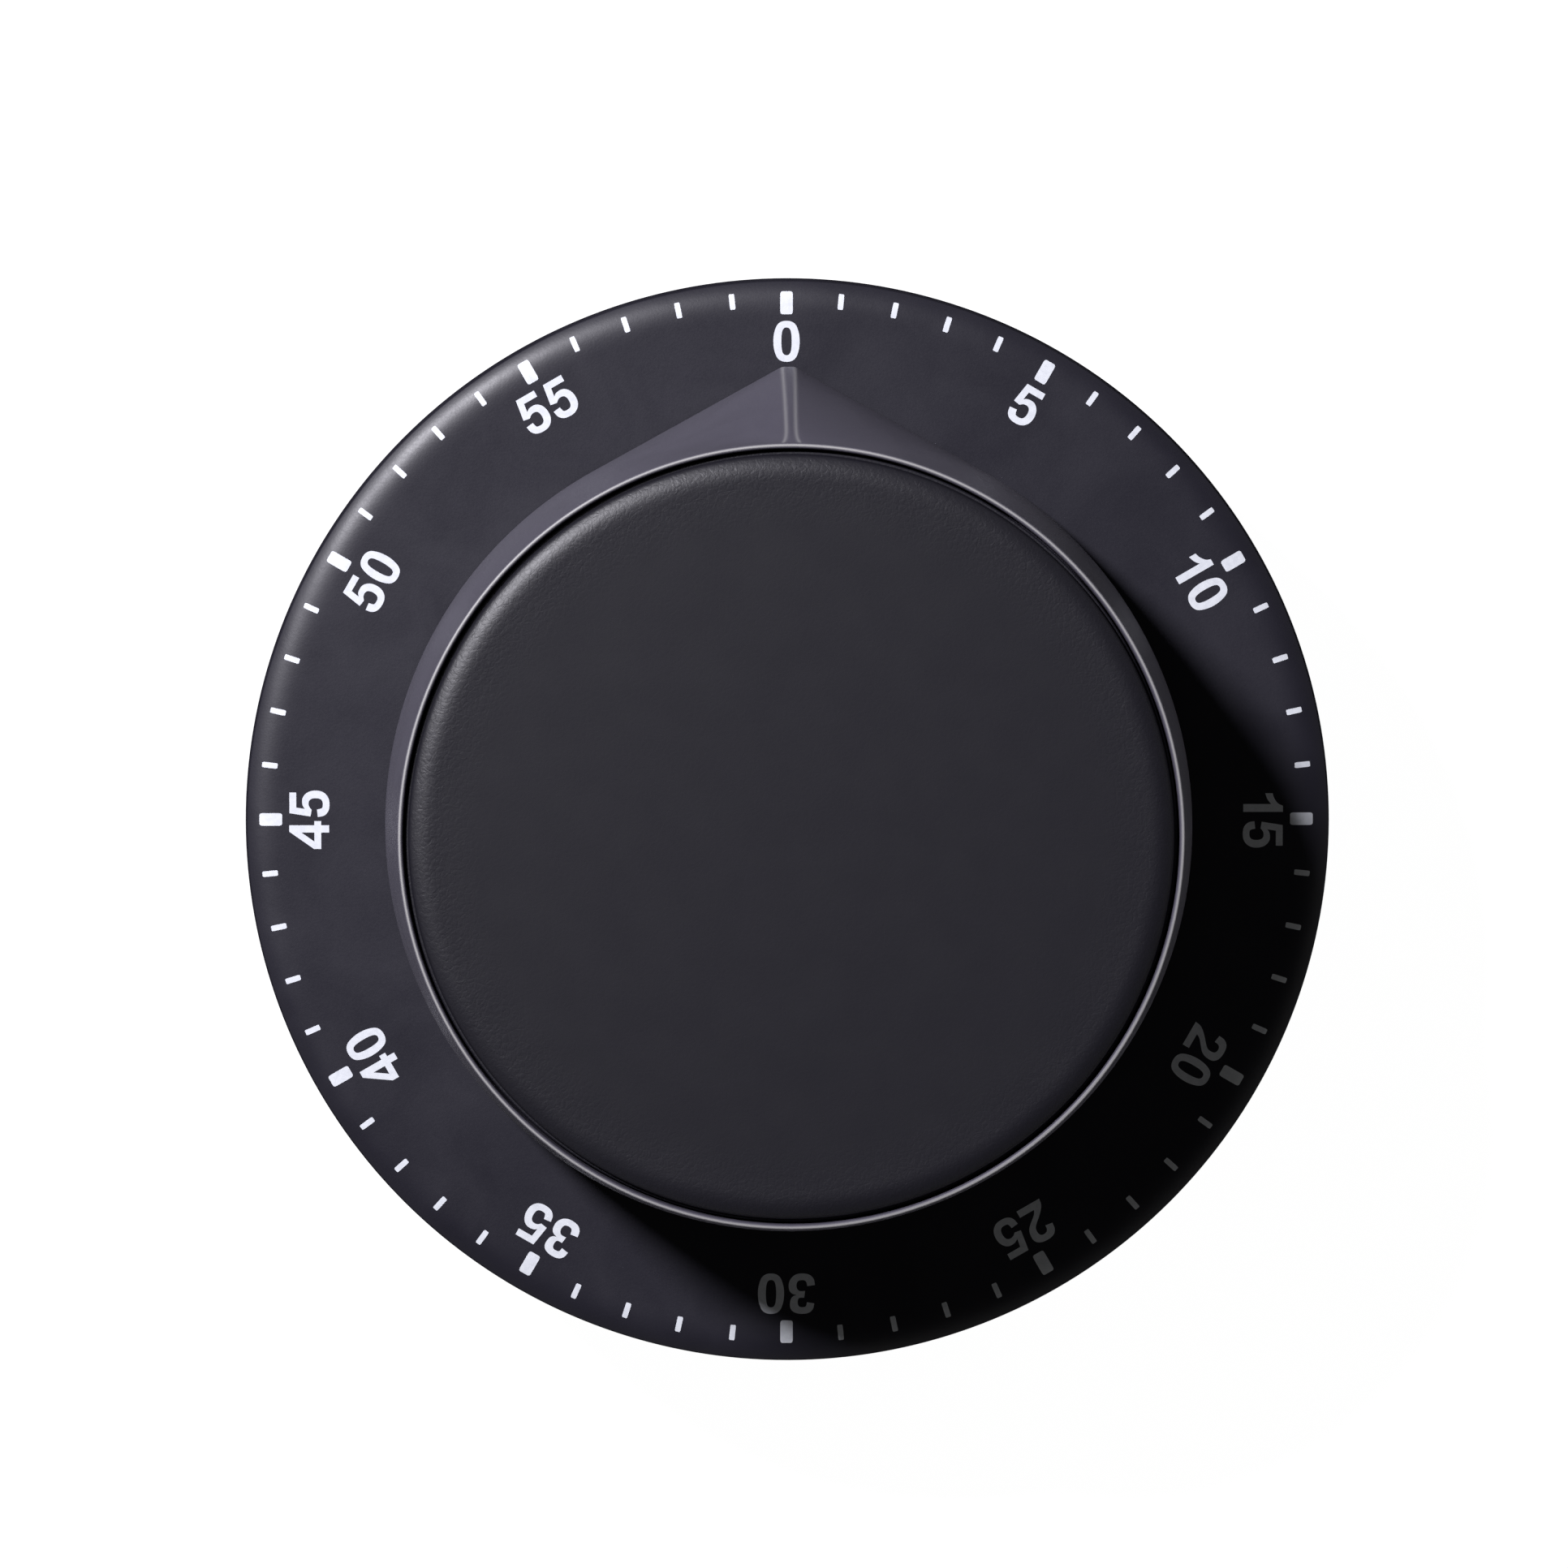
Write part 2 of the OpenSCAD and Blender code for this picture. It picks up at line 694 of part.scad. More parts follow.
module third_wheel() {
  color("#e8e4d8") at(third_at, z_third) rotate(heading(third_at, escape_at))
    wheel(wheel_teeth, third_m, small_leaves, train_t + 0.1, third_arbor_r + seat, 4);
}

module third_pinion() {
  color("#c8ccd0") at(third_at) {
    train_arbor(third_arbor_r);
    translate([0, 0, z_second - 0.15]) rotate(heading(third_at, second_at))
      linear_extrude(train_t + 0.25) pinion_outline(small_leaves, second_m);
  }
}

module escape_wheel() {
  tip = 0.06;
  base = 0.32;
  root = escape_r - 1.2;
  pitch = 360 / escape_teeth;
  color("#e8e4d8") at(escape_at, z_escape) rotate(to_balance + pallet_half_span - tooth_offset)
    linear_extrude(train_t) difference() {
      polygon([
        for (k = [0 : escape_teeth - 1])
          each [
            polar(root, k * pitch - base / root * 57.3), polar(escape_r, k * pitch - tip / escape_r * 57.3),
            polar(escape_r, k * pitch + tip / escape_r * 57.3), polar(root, k * pitch + base / root * 57.3)
          ]
      ]);
      circle(r = escape_arbor_r + seat);
      ring_of([0 : 120 : 240], 1.9) circle(r = 0.65);
    }
}

module escape_pinion() {
  color("#e8e4d8") at(escape_at) {
    train_arbor(escape_arbor_r);
    translate([0, 0, z_third - 0.3]) rotate(heading(escape_at, third_at))
      linear_extrude(train_t + 0.7) pinion_outline(small_leaves, third_m);
  }
}

module balance_arbor() {
  color("#c8ccd0") at(balance_at) train_arbor(escape_arbor_r);
}

// Two short arms that carry the pallet pins, and a long one with the weight
module balance_lever() {
  weight_at = balance_at + polar(weight_reach, to_balance);
  color("#b8bcc0") {
    translate([0, 0, z_lever]) linear_extrude(lever_t) difference() {
      union() {
        for (p = pallet_at) link(balance_at, p, 0.9);
        link(balance_at, weight_at, 1.2);
        at(balance_at) circle(r = 1.3);
      }
      at(balance_at) circle(r = escape_arbor_r + seat);
      for (p = pallet_at) at(p) circle(r = pallet_pin_r);
    }
    at(weight_at, z_lever - 0.6) cylinder(r = weight_r, h = weight_t);
  }
}

module pallet_pins() {
  color("silver") for (p = pallet_at) at(p, z_lever) cylinder(r = pallet_pin_r, h = z_escape - z_lever + train_t + 0.4);
}

module hammer_arbor() {
  color("#c8ccd0") at(hammer_at) {
    translate([0, 0, z_arm - 0.1]) cylinder(r = hammer_r, h = z_front - z_arm - 0.05);
    translate([0, 0, z_front - 0.2]) cylinder(r = pivot_r, h = plate_t + 0.1);
  }
}

module hammer_arm() {
  color("#b8bcc0") translate([0, 0, z_arm]) linear_extrude(hammer_arm_t) difference() {
    link(hammer_at, head_at, hammer_arm_w);
    at(hammer_at) circle(r = hammer_r + seat);
  }
}

module hammer_head() {
  color("#c9a227") at(head_at, z_arm - head_l) cylinder(r = head_r, h = head_l);
}

// Flat arm on the hammer arbor, from the arbor to a point of the plan
module hammer_lever(end, w, z, t) {
  translate([0, 0, z]) linear_extrude(t) difference() {
    union() {
      link(hammer_at, end, w);
      at(hammer_at) circle(r = hammer_r + 0.8);
    }
    at(hammer_at) circle(r = hammer_r + seat);
  }
}

// Tail that rides on the release cam
module hammer_tail() {
  color("#b8bcc0") hammer_lever(follower_at, 2 * follower_r, z_cam, cam_t);
}

// Short pallet that the star shakes
module hammer_pallet() {
  reach = norm(second_at - hammer_at) - star_r - star_gap - pallet_w / 2;
  end = hammer_at + polar(reach, heading(hammer_at, second_at));
  color("#b8bcc0") hammer_lever(end, pallet_w, z_star, star_t);
}

dial_housing();
back_cover();
rubber_ring();
magnets();
cover_screws();
felt_washer();
front_plate();
back_plate();
pillars();
pillar_screws();
movement_screws();
stop_pin();
mainspring();
spring_post();
bell();
bell_post();
bell_screw();
hammer_spring();
knob_shell();
knob_cap();
knob_screw();
main_arbor();
great_wheel();
clutch_spring();
release_cam();
stop_arm();
second_wheel();
second_pinion();
strike_star();
third_wheel();
third_pinion();
escape_wheel();
escape_pinion();
balance_arbor();
balance_lever();
pallet_pins();
hammer_arbor();
hammer_arm();
hammer_head();
hammer_tail();
hammer_pallet();
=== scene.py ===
# Mechanical kitchen timer, lying on its back: moulded black case with a printed dial, pointer knob with a
# grained cap, and a clockwork movement that strikes a bell. Metres; +Z out of the dial, +Y to the 0 mark.
import math

import bmesh
import bpy
import numpy as np
from mathutils import Matrix, Vector
from mathutils.geometry import tessellate_polygon


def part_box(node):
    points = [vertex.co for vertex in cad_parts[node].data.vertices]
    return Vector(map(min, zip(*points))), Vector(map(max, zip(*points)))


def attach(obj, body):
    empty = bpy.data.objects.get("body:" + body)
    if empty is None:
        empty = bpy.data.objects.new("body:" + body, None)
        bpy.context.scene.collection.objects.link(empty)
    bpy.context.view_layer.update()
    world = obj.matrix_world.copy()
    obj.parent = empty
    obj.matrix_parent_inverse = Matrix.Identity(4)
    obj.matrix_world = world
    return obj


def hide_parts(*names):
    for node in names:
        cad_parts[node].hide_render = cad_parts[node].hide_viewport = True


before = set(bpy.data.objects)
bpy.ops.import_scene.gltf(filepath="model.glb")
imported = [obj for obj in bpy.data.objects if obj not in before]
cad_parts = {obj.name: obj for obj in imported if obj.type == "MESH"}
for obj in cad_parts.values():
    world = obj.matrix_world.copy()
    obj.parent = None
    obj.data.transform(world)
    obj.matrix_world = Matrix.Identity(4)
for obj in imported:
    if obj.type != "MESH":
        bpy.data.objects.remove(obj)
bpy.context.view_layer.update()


# ---- Camera ----------------------------------------------------------------------------------------------
# A long lens looks down on the dial, tilted a little towards the 0 mark and less to its left, so the knob's
# top stands slightly off the dial's centre.
aim = Vector((-0.00030, 0.00280, 0.021))
tilt_left, tilt_up = math.radians(0.77), math.radians(3.16)
view_from = Vector((-math.tan(tilt_left), math.tan(tilt_up), 1.0)).normalized()
lens_distance = 0.55
seen_width = 0.11233
sensor_width = 36

camera = bpy.data.objects.new("camera", bpy.data.cameras.new("camera"))
bpy.context.scene.collection.objects.link(camera)
camera.data.sensor_width = sensor_width
camera.data.lens = sensor_width * lens_distance / seen_width
camera.data.clip_start = 0.01
camera.data.clip_end = 20
right = Vector((0, 1, 0)).cross(view_from).normalized()
camera.matrix_world = Matrix.Translation(aim + view_from * lens_distance) @ Matrix(
    (right, view_from.cross(right), view_from)).transposed().to_4x4()
bpy.context.scene.camera = camera
bpy.context.scene.view_settings.view_transform = "Standard"


# ---- Light -----------------------------------------------------------------------------------------------
# One soft lamp stands to the upper left of the dial. The room adds a weak warm glow from round the horizon,
# almost none from overhead and none from below the table. The camera itself sees it plain white.
def lamp(name, towards, distance, size, watts, colour):
    """A round area lamp at a distance from the aim along a direction, facing back at the aim."""
    data = bpy.data.lights.new(name, "AREA")
    data.shape, data.size, data.energy, data.color = "DISK", size, watts, colour
    obj = bpy.data.objects.new(name, data)
    bpy.context.scene.collection.objects.link(obj)
    direction = Vector(towards).normalized()
    facing = direction.to_track_quat("Z", "Y").to_matrix().to_4x4()
    obj.matrix_world = Matrix.Translation(aim + direction * distance) @ facing


def from_sky(azimuth, elevation):
    """Unit direction at an azimuth from +X towards +Y and an elevation above the floor, in degrees."""
    a, e = math.radians(azimuth), math.radians(elevation)
    return math.cos(e) * math.cos(a), math.cos(e) * math.sin(a), math.sin(e)


lamp("key_lamp", from_sky(136.5, 47), 0.5, 0.078, 3.75, (0.975, 0.96, 1.03))

world = bpy.data.worlds.new("room")
bpy.context.scene.world = world
world.use_nodes = True
room = world.node_tree


def room_node(kind, inputs, output=0, **settings):
    """Adds a node to the room, sets or links its inputs, and returns one of its outputs."""
    made = room.nodes.new("ShaderNode" + kind)
    for key, value in settings.items():
        setattr(made, key, value)
    for key, value in inputs.items():
        if isinstance(value, bpy.types.NodeSocket):
            room.links.new(value, made.inputs[key])
        else:
            made.inputs[key].default_value = value
    return made.outputs[output]


up_way = room_node("SeparateXYZ", {0: room_node("TexCoord", {}, "Generated")}, "Z")
glow = room_node("MapRange", {"Value": up_way, "From Min": 0.0, "From Max": 0.8, "To Min": 0.20, "To Max": 0.012})
above_table = room_node("MapRange", {"Value": up_way, "From Min": -0.06, "From Max": -0.01})
lit_glow = room_node("Math", {0: glow, 1: above_table}, operation="MULTIPLY")
seen_direct = room_node("LightPath", {}, "Is Camera Ray")
room.links.new(room_node("Mix", {0: seen_direct, 2: lit_glow, 3: 1.0}), room.nodes["Background"].inputs["Strength"])
room.nodes["Background"].inputs["Color"].default_value = (1.0, 0.985, 0.93, 1)


# ---- Floor -----------------------------------------------------------------------------------------------
# A plain white table top, bright enough to read as white all round the timer. It is there to take the timer's
# shadow, and it isn't part of the object.
def skin(points, wrap_rows=False, wrap_cols=False):
    """Joins a grid of points into four-cornered faces, each between one row and column and the next."""
    rows, cols = points.shape[:2]
    index = np.arange(rows * cols).reshape(rows, cols)
    r = np.arange(rows if wrap_rows else rows - 1)[:, None]
    c = np.arange(cols if wrap_cols else cols - 1)[None, :]
    r1, c1 = (r + 1) % rows, (c + 1) % cols
    faces = np.stack([index[r, c], index[r, c1], index[r1, c1], index[r1, c]], -1).reshape(-1, 4)
    return points.reshape(-1, 3), faces


def build(name, shells, material, crisp=35, rub_and_highlight=None):
    """One object from shells of (points, faces): doubles merged at seams and poles, and corners sharper than
    the crisp angle left sharp in the shading. A mask of painted highlight and wear, from 0 to 1 at each point,
    is kept as an attribute when given."""
    starts = np.cumsum([0] + [len(p) for p, _ in shells])
    points = np.concatenate([p for p, _ in shells])
    faces = [tuple(f) for (_, fs), start in zip(shells, starts) for f in (np.asarray(fs) + start).tolist()]
    mesh = bpy.data.meshes.new(name)
    mesh.from_pydata(points.tolist(), [], faces)
    if rub_and_highlight is not None:
        mesh.attributes.new("rub_and_highlight", "FLOAT", "POINT").data.foreach_set("value", rub_and_highlight)
    work = bmesh.new()
    work.from_mesh(mesh)
    bmesh.ops.remove_doubles(work, verts=work.verts, dist=1e-8)
    work.to_mesh(mesh)
    work.free()
    mesh.polygons.foreach_set("use_smooth", np.ones(len(mesh.polygons), bool))
    mesh.set_sharp_from_angle(angle=math.radians(crisp))
    mesh.materials.append(material)
    obj = bpy.data.objects.new(name, mesh)
    bpy.context.scene.collection.objects.link(obj)
    return obj


class Finish:
    """A node material being made: its shader, its object coordinates, and short calls that add nodes."""

    def __init__(self, name, **values):
        self.material = bpy.data.materials.new(name)
        self.material.use_nodes = True
        self.tree = self.material.node_tree
        self.shader = self.tree.nodes["Principled BSDF"]
        for socket, value in values.items():
            self.shader.inputs[socket.replace("_", " ")].default_value = value
        self.coords = self.tree.nodes.new("ShaderNodeTexCoord").outputs["Object"]

    def node(self, kind, inputs, output=0, **settings):
        """Adds a node, sets or links its inputs by name or number, and returns one of its outputs."""
        made = self.tree.nodes.new("ShaderNode" + kind)
        for key, value in settings.items():
            setattr(made, key, value)
        for key, value in inputs.items():
            if isinstance(value, bpy.types.NodeSocket):
                self.tree.links.new(value, made.inputs[key])
            else:
                made.inputs[key].default_value = value
        return made.outputs[output]

    def noise(self, size, detail=3.0, roughness=0.5, vector=None, distortion=0.0):
        """Noise from 0 to 1 whose patches are about size metres across."""
        return self.node("TexNoise", {"Vector": vector or self.coords, "Scale": 1 / size, "Detail": detail,
                                      "Roughness": roughness, "Distortion": distortion})

    def between(self, value, low, high, start=0.0, end=1.0):
        """Maps value from start..end to low..high, held at the ends."""
        return self.node("MapRange", {"Value": value, "From Min": start, "From Max": end,
                                      "To Min": low, "To Max": high})

    def blend(self, factor, first, second):
        """Mixes two colours by factor."""
        return self.node("Mix", {0: factor, 6: first, 7: second}, 2, data_type="RGBA")

    def sum_of(self, first, second, gain=1.0):
        """first plus gain times second."""
        scaled = self.node("Math", {0: second, 1: gain}, operation="MULTIPLY")
        return self.node("Math", {0: first, 1: scaled}, operation="ADD")

    def colour(self, value):
        """Links the base colour."""
        self.tree.links.new(value, self.shader.inputs["Base Color"])

    def roughness(self, value):
        """Links the roughness."""
        self.tree.links.new(value, self.shader.inputs["Roughness"])

    def relief(self, height, depth):
        """Bump whose height runs from 0 to depth metres."""
        bump = self.node("Bump", {"Height": height, "Distance": depth, "Strength": 1.0})
        self.tree.links.new(bump, self.shader.inputs["Normal"])


def shade(colour, gain):
    """A colour made lighter or darker by a gain, with full alpha."""
    return tuple(min(1.0, c * gain) for c in colour[:3]) + (1.0,)


floor_reach = 3.0
floor_white = Finish("table_white", Roughness=0.9, Specular_IOR_Level=0.0, Emission_Strength=0.99)
floor_white.shader.inputs["Emission Color"].default_value = (1, 1, 1, 1)
floor_white.colour(floor_white.blend(floor_white.noise(0.2), (0.145, 0.145, 0.145, 1), (0.155, 0.155, 0.155, 1)))
floor_line = np.linspace(-floor_reach, floor_reach, 9)
floor_x, floor_y = np.meshgrid(floor_line, floor_line)
floor = build("floor", [skin(np.stack([floor_x, floor_y, np.zeros_like(floor_x)], -1))], floor_white.material)
floor.visible_glossy = False


# ---- Dial housing ----------------------------------------------------------------------------------------
# The dial and the drafted side wall are one ABS moulding with a satin spark texture. The dial is flat as far
# as the numerals and rolls off more and more steeply to a tight edge. Three bosses under it carry the movement
# and three posts take the cover's screws.
MM = 0.001
housing_lo, housing_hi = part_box("dial_housing")
cover_lo, cover_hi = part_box("back_cover")
plate_lo, plate_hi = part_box("front_plate")
dial_top = housing_hi.z / MM
housing_foot = housing_lo.z / MM
case_r = housing_hi.x / MM
inner_r = cover_hi.x / MM + 0.1
dial_wall = 2.2
ceiling = dial_top - dial_wall
arbor_hole = 4.0
crown_start, crown_end, crown_drop, crown_power = case_r - 3.2, case_r - 0.30, 0.58, 3.4
edge_r = 0.2
draft_height = 2.4


def arc(cx, cz, r, start, end, steps):
    """Points of a circular arc in the (radius, height) half plane, angles from +radius towards +height."""
    a = np.radians(np.linspace(start, end, steps))
    return np.stack([cx + r * np.cos(a), cz + r * np.sin(a)], -1)


def dial_height(r):
    """Height of the dial's face: flat, then falling by a power of the way from crown_start to crown_end."""
    way = np.clip((r - crown_start) / (crown_end - crown_start), 0, None)
    return dial_top - crown_drop * way ** crown_power


def turned(profile, steps=192, centre=(0, 0), closed=True):
    """Turns a (radius, height) profile in mm about an upright axis: anticlockwise profiles face outwards."""
    turn = np.linspace(0, 2 * np.pi, steps, endpoint=False)
    r, z = profile[:, 0][:, None], profile[:, 1][:, None]
    points = np.stack([centre[0] + r * np.cos(turn), centre[1] + r * np.sin(turn), z + 0 * turn], -1)
    return skin(points * MM, wrap_rows=closed, wrap_cols=True)


def moulded(name, colour, roughness, grain, depth):
    """Satin moulded plastic: fine spark texture in relief, faint flow mottling, and uneven gloss."""
    f = Finish(name, IOR=1.5)
    fine = f.noise(grain, 4.0, 0.6)
    flow = f.noise(0.006, 5.0, 0.55, distortion=0.6)
    f.colour(f.blend(flow, shade(colour, 0.86), shade(colour, 1.14)))
    f.roughness(f.between(f.sum_of(flow, fine, 0.6), roughness - 0.06, roughness + 0.06, 0.5, 1.1))
    f.relief(f.sum_of(fine, f.noise(grain * 3.5, 2.0), 0.8), depth)
    return f


case_black = moulded("case_black_satin", (0.0140, 0.0132, 0.0205), 0.44, 0.00016, 0.000005)

slope = math.degrees(math.atan(crown_drop * crown_power / (crown_end - crown_start)))
crown_r = np.linspace(crown_end, crown_start, 36)
edge_c = (crown_end - edge_r * math.sin(math.radians(slope)),
          dial_height(crown_end) - edge_r * math.cos(math.radians(slope)))
edge = arc(*edge_c, edge_r, 14, 90 - slope, 9)
draft_z = np.linspace(edge[0, 1] - draft_height, edge[0, 1], 8)[:-1]
draft_rise = (draft_z - draft_z[0]) / draft_height
draft = np.stack([case_r - (case_r - edge[0, 0]) * draft_rise ** 2, draft_z], -1)
housing_profile = np.concatenate([
    [[inner_r, housing_foot + 0.25], [inner_r + 0.25, housing_foot]],
    arc(case_r - 0.8, housing_foot + 0.5, 0.5, -90, -20, 6),
    [[case_r, housing_foot + 2.2], [case_r, housing_foot + 9]],
    draft, edge,
    np.stack([crown_r, dial_height(crown_r)], -1)[1:],
    [[28, dial_top], [20, dial_top], [12, dial_top]],
    arc(arbor_hole + 0.3, dial_top - 0.3, 0.3, 90, 180, 5),
    [[arbor_hole, ceiling + 0.2], [arbor_hole + 0.2, ceiling], [12, ceiling], [24, ceiling]],
    arc(inner_r - 0.6, ceiling - 0.6, 0.6, 90, 0, 6),
])
cover_top = cover_hi.z / MM
boss_foot = plate_hi.z / MM
housing_shells = [turned(housing_profile, 288)]
movement_bosses = ((20, 140, 260), inner_r - 5.8, 3.0, 0.92, boss_foot)
cover_posts = ((80, 200, 320), inner_r - 3.6, 2.6, 1.12, cover_top)
for angles, ring, outer, screw_hole, foot in (movement_bosses, cover_posts):
    tube = np.array([[screw_hole + 0.15, foot], [outer - 0.2, foot], [outer, foot + 0.2], [outer, ceiling + 0.5],
                     [screw_hole, ceiling + 0.5], [screw_hole, foot + 0.15]])
    for a in np.radians(angles):
        housing_shells.append(turned(tube, 40, (ring * math.cos(a), ring * math.sin(a))))
housing = build("dial_housing_moulding", housing_shells, case_black.material)
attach(housing, "case")
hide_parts("dial_housing")


# ---- Dial print ------------------------------------------------------------------------------------------
# Sixty minute ticks and twelve numerals are pad-printed in thin white ink, which follows the dial over its
# crown. The print sits 0.3 mm off the dial's centre, as pad printing often does.
tick_outer = 37.75
ink_shift = (-0.12, 0.28)
tick_sizes = {"minute": (1.12, 0.40), "five": (1.64, 0.90)}
numeral_r = 34.18
numeral_pitch = 2.23
ink_top, ink_sunk = 0.022, 0.03

# Each numeral is one or two outlines of control points in mm: x, y, and 1 at a sharp corner.
numerals = {
    "0": [[(.94, .55, 0), (.56, 1.46, 0), (-.56, 1.46, 0), (-.94, .55, 0), (-.94, -.55, 0), (-.56, -1.46, 0),
           (.56, -1.46, 0), (.94, -.55, 0)],
          [(.37, .50, 0), (.22, .99, 0), (-.22, .99, 0), (-.37, .50, 0), (-.37, -.50, 0), (-.22, -.99, 0),
           (.22, -.99, 0), (.37, -.50, 0)]],
    "1": [[(.62, -1.425, 1), (.62, 1.425, 1), (.18, 1.425, 1), (.04, 1.06, 0), (-.36, .78, 0), (-.72, .68, 1),
           (-.72, .15, 1), (-.26, .30, 0), (.06, .58, 1), (.06, -1.425, 1)]],
    "2": [[(-.90, .56, 1), (-.86, 1.08, 0), (-.46, 1.46, 0), (.46, 1.46, 0), (.93, 1.10, 0), (.93, .46, 0),
           (.72, .02, 0), (.10, -.46, 0), (-.12, -.70, 0), (-.20, -.90, 1), (.94, -.90, 1), (.94, -1.425, 1),
           (-.94, -1.425, 1), (-.88, -.94, 0), (-.44, -.42, 0), (.16, .08, 0), (.37, .36, 0), (.37, .78, 0),
           (.20, .98, 0), (-.16, .98, 0), (-.34, .80, 0), (-.36, .48, 1)]],
    "3": [[(-.88, .70, 1), (-.82, 1.12, 0), (-.44, 1.46, 0), (.40, 1.46, 0), (.87, 1.14, 0), (.87, .50, 0),
           (.68, .18, 0), (.38, .10, 1), (.72, .02, 0), (.96, -.26, 0), (.96, -.92, 0), (.46, -1.46, 0),
           (-.44, -1.46, 0), (-.86, -1.12, 0), (-.93, -.62, 1), (-.38, -.54, 1), (-.28, -.98, 0), (.24, -.98, 0),
           (.40, -.74, 0), (.40, -.42, 0), (.22, -.18, 0), (-.04, -.18, 0), (-.22, -.20, 1), (-.16, .30, 1),
           (.20, .28, 0), (.31, .46, 0), (.31, .78, 0), (.18, .98, 0), (-.18, .98, 0), (-.32, .88, 0),
           (-.35, .62, 1)]],
    "4": [[(.18, -1.425, 1), (.70, -1.425, 1), (.70, -.86, 1), (1.0, -.86, 1), (1.0, -.37, 1), (.70, -.37, 1),
           (.70, 1.425, 1), (.24, 1.425, 1), (-1.0, -.34, 1), (-1.0, -.86, 1), (.18, -.86, 1)],
          [(.18, -.37, 1), (.18, .56, 1), (-.47, -.37, 1)]],
    "5": [[(-.94, -.62, 1), (-.86, -1.12, 0), (-.44, -1.46, 0), (.44, -1.46, 0), (.96, -.92, 0), (.96, -.04, 0),
           (.52, .50, 0), (-.10, .50, 0), (-.36, .30, 1), (-.26, .92, 1), (.82, .92, 1), (.82, 1.41, 1),
           (-.66, 1.41, 1), (-.90, -.10, 1), (-.42, -.18, 1), (-.16, .04, 0), (.22, .04, 0), (.41, -.22, 0),
           (.41, -.72, 0), (.22, -.98, 0), (-.24, -.98, 0), (-.34, -.86, 0), (-.40, -.56, 1)]],
}


def rounded_outline(control):
    """Cuts the corners of a closed control polygon three times, which leaves smooth curves, then drops the
    points that lie on straight runs. A sharp corner is listed twice, so the cuts leave it where it is."""
    control = np.array(control)
    pts = np.repeat(control[:, :2], 1 + control[:, 2].astype(int), axis=0)
    for _ in range(3):
        ahead = np.roll(pts, -1, 0)
        pts = np.stack([0.75 * pts + 0.25 * ahead, 0.25 * pts + 0.75 * ahead], 1).reshape(-1, 2)
    pts = pts[np.linalg.norm(pts - np.roll(pts, 1, 0), axis=1) > 1e-6]
    before, after = pts - np.roll(pts, 1, 0), np.roll(pts, -1, 0) - pts
    return pts[np.abs(before[:, 0] * after[:, 1] - before[:, 1] * after[:, 0]) > 1e-6]


def on_dial(x, y, minute, lift):
    """Turns upright dial points (x across, y outwards from the axis) to a minute, on the dial plus a lift."""
    a = np.radians(90 - 6 * minute)
    px = x * np.sin(a) + y * np.cos(a) + ink_shift[0]
    py = y * np.sin(a) - x * np.cos(a) + ink_shift[1]
    return np.stack([px, py, dial_height(np.hypot(px, py)) + lift], -1) * MM


def inked(outlines, x_shift, minute):
    """A numeral as a closed film: the outlines filled above and below, and joined round their edges."""
    flat = np.concatenate(outlines)
    count = len(flat)
    triangles = np.array(tessellate_polygon([[Vector((*point, 0)) for point in o] for o in outlines]))
    p, q, r = (flat[triangles[:, k]] for k in range(3))
    turn = (q - p)[:, 0] * (r - p)[:, 1] - (q - p)[:, 1] * (r - p)[:, 0]
    triangles[turn < 0] = triangles[turn < 0][:, ::-1]
    x, y = flat[:, 0] + x_shift, flat[:, 1] + numeral_r
    top, low = (on_dial(x, y, minute, lift) for lift in (ink_top, -ink_sunk))
    sides, start = [], 0
    for o in outlines:
        i = start + np.arange(len(o))
        j = start + (np.arange(len(o)) + 1) % len(o)
        area = np.sum(o[:, 0] * np.roll(o[:, 1], -1) - o[:, 1] * np.roll(o[:, 0], -1))
        outer = len(sides) == 0
        quad = np.stack([i + count, j + count, j, i], -1)
        sides.append(quad if (area > 0) == outer else quad[:, ::-1])
        start += len(o)
    sides = np.concatenate(sides)
    faces = [triangles, triangles[:, ::-1] + count, sides[:, [0, 1, 2]], sides[:, [0, 2, 3]]]
    return np.concatenate([top, low]), np.concatenate(faces)


def tick(minute):
    """A bar of ink along a radius: a loop across its width is carried outwards, drawn in at the corners."""
    length, width = tick_sizes["five" if minute % 5 == 0 else "minute"]
    way = np.array([0, 0, 0.04, 0.13, 0.3, 0.5, 0.7, 0.87, 0.96, 1, 1])
    half = width / 2 * np.array([0, 0.72, 0.93, 1, 1, 1, 1, 1, 0.93, 0.72, 0])
    across = np.array([-1, 0, 1, 1, -1.0])
    lift = np.array([ink_top, ink_top, ink_top, -ink_sunk, -ink_sunk])
    lifts = np.where(half[:, None] > 0, lift, 0)
    x = half[:, None] * across
    y = tick_outer - length + length * way[:, None] + 0 * x
    return skin(on_dial(x, y, minute, lifts), wrap_cols=True)


ink = Finish("dial_ink_white", Roughness=0.55, IOR=1.45)
ink_patch = ink.noise(0.0004, 3.0, 0.6)
ink.colour(ink.blend(ink.between(ink_patch, 0, 1, 0.3, 0.6), (0.66, 0.685, 0.73, 1), (0.74, 0.765, 0.805, 1)))
ink.roughness(ink.between(ink_patch, 0.48, 0.62))
ink.relief(ink_patch, 0.000003)

shapes = {digit: [rounded_outline(o) for o in outlines] for digit, outlines in numerals.items()}
print_shells = [tick(m) for m in range(60)]
for minute in range(0, 60, 5):
    label = str(minute)
    for place, digit in enumerate(label):
        print_shells.append(inked(shapes[digit], (place - (len(label) - 1) / 2) * numeral_pitch, minute))
dial_print = build("dial_print", print_shells, ink.material)
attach(dial_print, "case")


